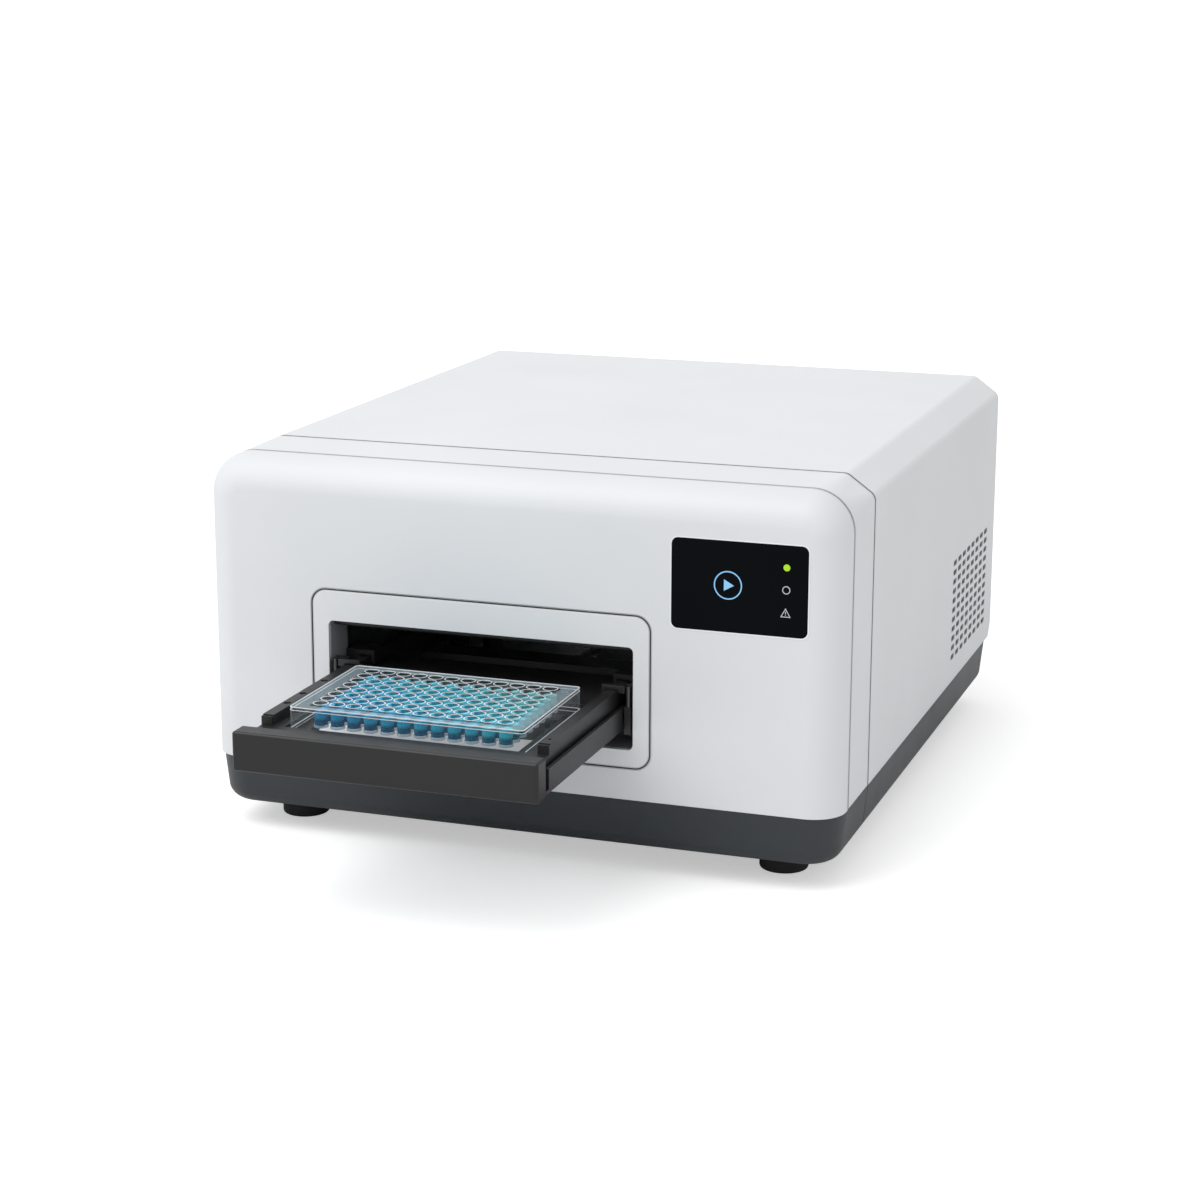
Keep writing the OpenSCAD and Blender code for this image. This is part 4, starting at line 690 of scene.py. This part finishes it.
# Near-white lines where the moulding has edges, painted highlights, (height, how much wider
# than the skirt, thickness): the deck's edge, a line under it, the lip and the foot
SKIRT_HIGHLIGHTS = ((DECK_Z - 0.15, 0.0, 0.42), (DECK_Z - 1.6, 0.04, 0.24),
               (LIP_Z - 0.02, 0.04, 0.22), (NEST_Z + 0.05, 2.5, 0.3))
LINE_W = 0.9
verts, faces = [], []
for z, over, t in SKIRT_HIGHLIGHTS:
    band(rounded(outer_l + over, outer_w + over, 2.4),
         rounded(outer_l + over - LINE_W, outer_w + over - LINE_W, 2.0),
         on_plate(*centre, z), t, verts, faces)
piece("skirt_highlights", verts, faces, RIM_HIGHLIGHT, "tray")
# Pale rings round the wells' feet, painted highlight
well_bands("well_foot_highlights", WELL_R + 0.32, WELL_R - 0.02, FOOT_SIDES, NEST_Z + 2.2, 1.2,
           FOOT_HIGHLIGHT)


# ---------------------------------------------------------------- floor, light, camera
FLOOR_HALF, FLOOR_TONE, FLOOR_SEEN = 60.0, 0.88, 0.46
WORLD_ON_OBJECT, WORLD_SEEN = 0.68, 1.0
KEY_AT, KEY_AIM, KEY_POWER, KEY_SIZE = (-1.2, -1.5, 2.9), (0.0, 0.0, 0.1), 55.0, 2.6
CAMERA_AT, CAMERA_TILT, CAMERA_TURN = (0.4773, -1.3747, 0.4722), 76.181, 19.581
LENS, SENSOR, SHIFT_X, SHIFT_Y = 79.14, 36.0, 0.0189, -0.0055
WHITE = (1.0, 1.0, 1.0, 1.0)


def stage_floor():
    """A pale floor that keeps the shadow. What it adds for the camera lights nothing."""
    mesh = bpy.data.meshes.new("floor")
    s = FLOOR_HALF
    mesh.from_pydata([(-s, -s, 0), (s, -s, 0), (s, s, 0), (-s, s, 0)], [], [(0, 1, 2, 3)])
    o = add("floor", mesh)
    mat = bpy.data.materials.new("floor")
    mat.use_nodes = True
    t = mat.node_tree
    b = t.nodes["Principled BSDF"]
    b.inputs["Base Color"].default_value = (FLOOR_TONE, FLOOR_TONE, FLOOR_TONE, 1.0)
    b.inputs["Roughness"].default_value = 0.9
    b.inputs["Specular IOR Level"].default_value = 0.1
    path = t.nodes.new("ShaderNodeLightPath")
    scale = t.nodes.new("ShaderNodeMath")
    scale.operation = "MULTIPLY"
    scale.inputs[1].default_value = FLOOR_SEEN
    t.links.new(path.outputs["Is Camera Ray"], scale.inputs[0])
    b.inputs["Emission Color"].default_value = WHITE
    t.links.new(scale.outputs[0], b.inputs["Emission Strength"])
    o.data.materials.append(mat)


def studio_world():
    """White where it is seen, mirrored or looked at through glass, and dimmer on the object."""
    world = bpy.data.worlds.new("studio")
    bpy.context.scene.world = world
    world.use_nodes = True
    t = world.node_tree
    t.nodes.clear()
    path = t.nodes.new("ShaderNodeLightPath")

    def either(a, b):
        m = t.nodes.new("ShaderNodeMath")
        m.operation = "MAXIMUM"
        t.links.new(a, m.inputs[0])
        t.links.new(b, m.inputs[1])
        return m.outputs[0]

    def background(strength):
        b = t.nodes.new("ShaderNodeBackground")
        b.inputs["Color"].default_value = WHITE
        b.inputs["Strength"].default_value = strength
        return b.outputs[0]

    seen = either(either(path.outputs["Is Camera Ray"], path.outputs["Is Glossy Ray"]),
                  path.outputs["Is Transmission Ray"])
    mix = t.nodes.new("ShaderNodeMixShader")
    t.links.new(seen, mix.inputs[0])
    t.links.new(background(WORLD_ON_OBJECT), mix.inputs[1])
    t.links.new(background(WORLD_SEEN), mix.inputs[2])
    out = t.nodes.new("ShaderNodeOutputWorld")
    t.links.new(mix.outputs[0], out.inputs["Surface"])


def softbox(name, place, target, power, size):
    lamp = bpy.data.lights.new(name, "AREA")
    lamp.energy = power
    lamp.size = size
    o = add(name, lamp)
    o.location = place
    aim = Vector(target) - Vector(place)
    o.rotation_euler = aim.to_track_quat("-Z", "Y").to_euler()


stage_floor()
studio_world()
softbox("key", KEY_AT, KEY_AIM, KEY_POWER, KEY_SIZE)

camera = bpy.data.cameras.new("camera")
camera.sensor_width = SENSOR
camera.lens = LENS
camera.shift_x = SHIFT_X
camera.shift_y = SHIFT_Y
cam = add("camera", camera)
cam.location = CAMERA_AT
cam.rotation_euler = (math.radians(CAMERA_TILT), 0.0, math.radians(CAMERA_TURN))
bpy.context.scene.camera = cam
bpy.context.scene.view_settings.view_transform = "Standard"
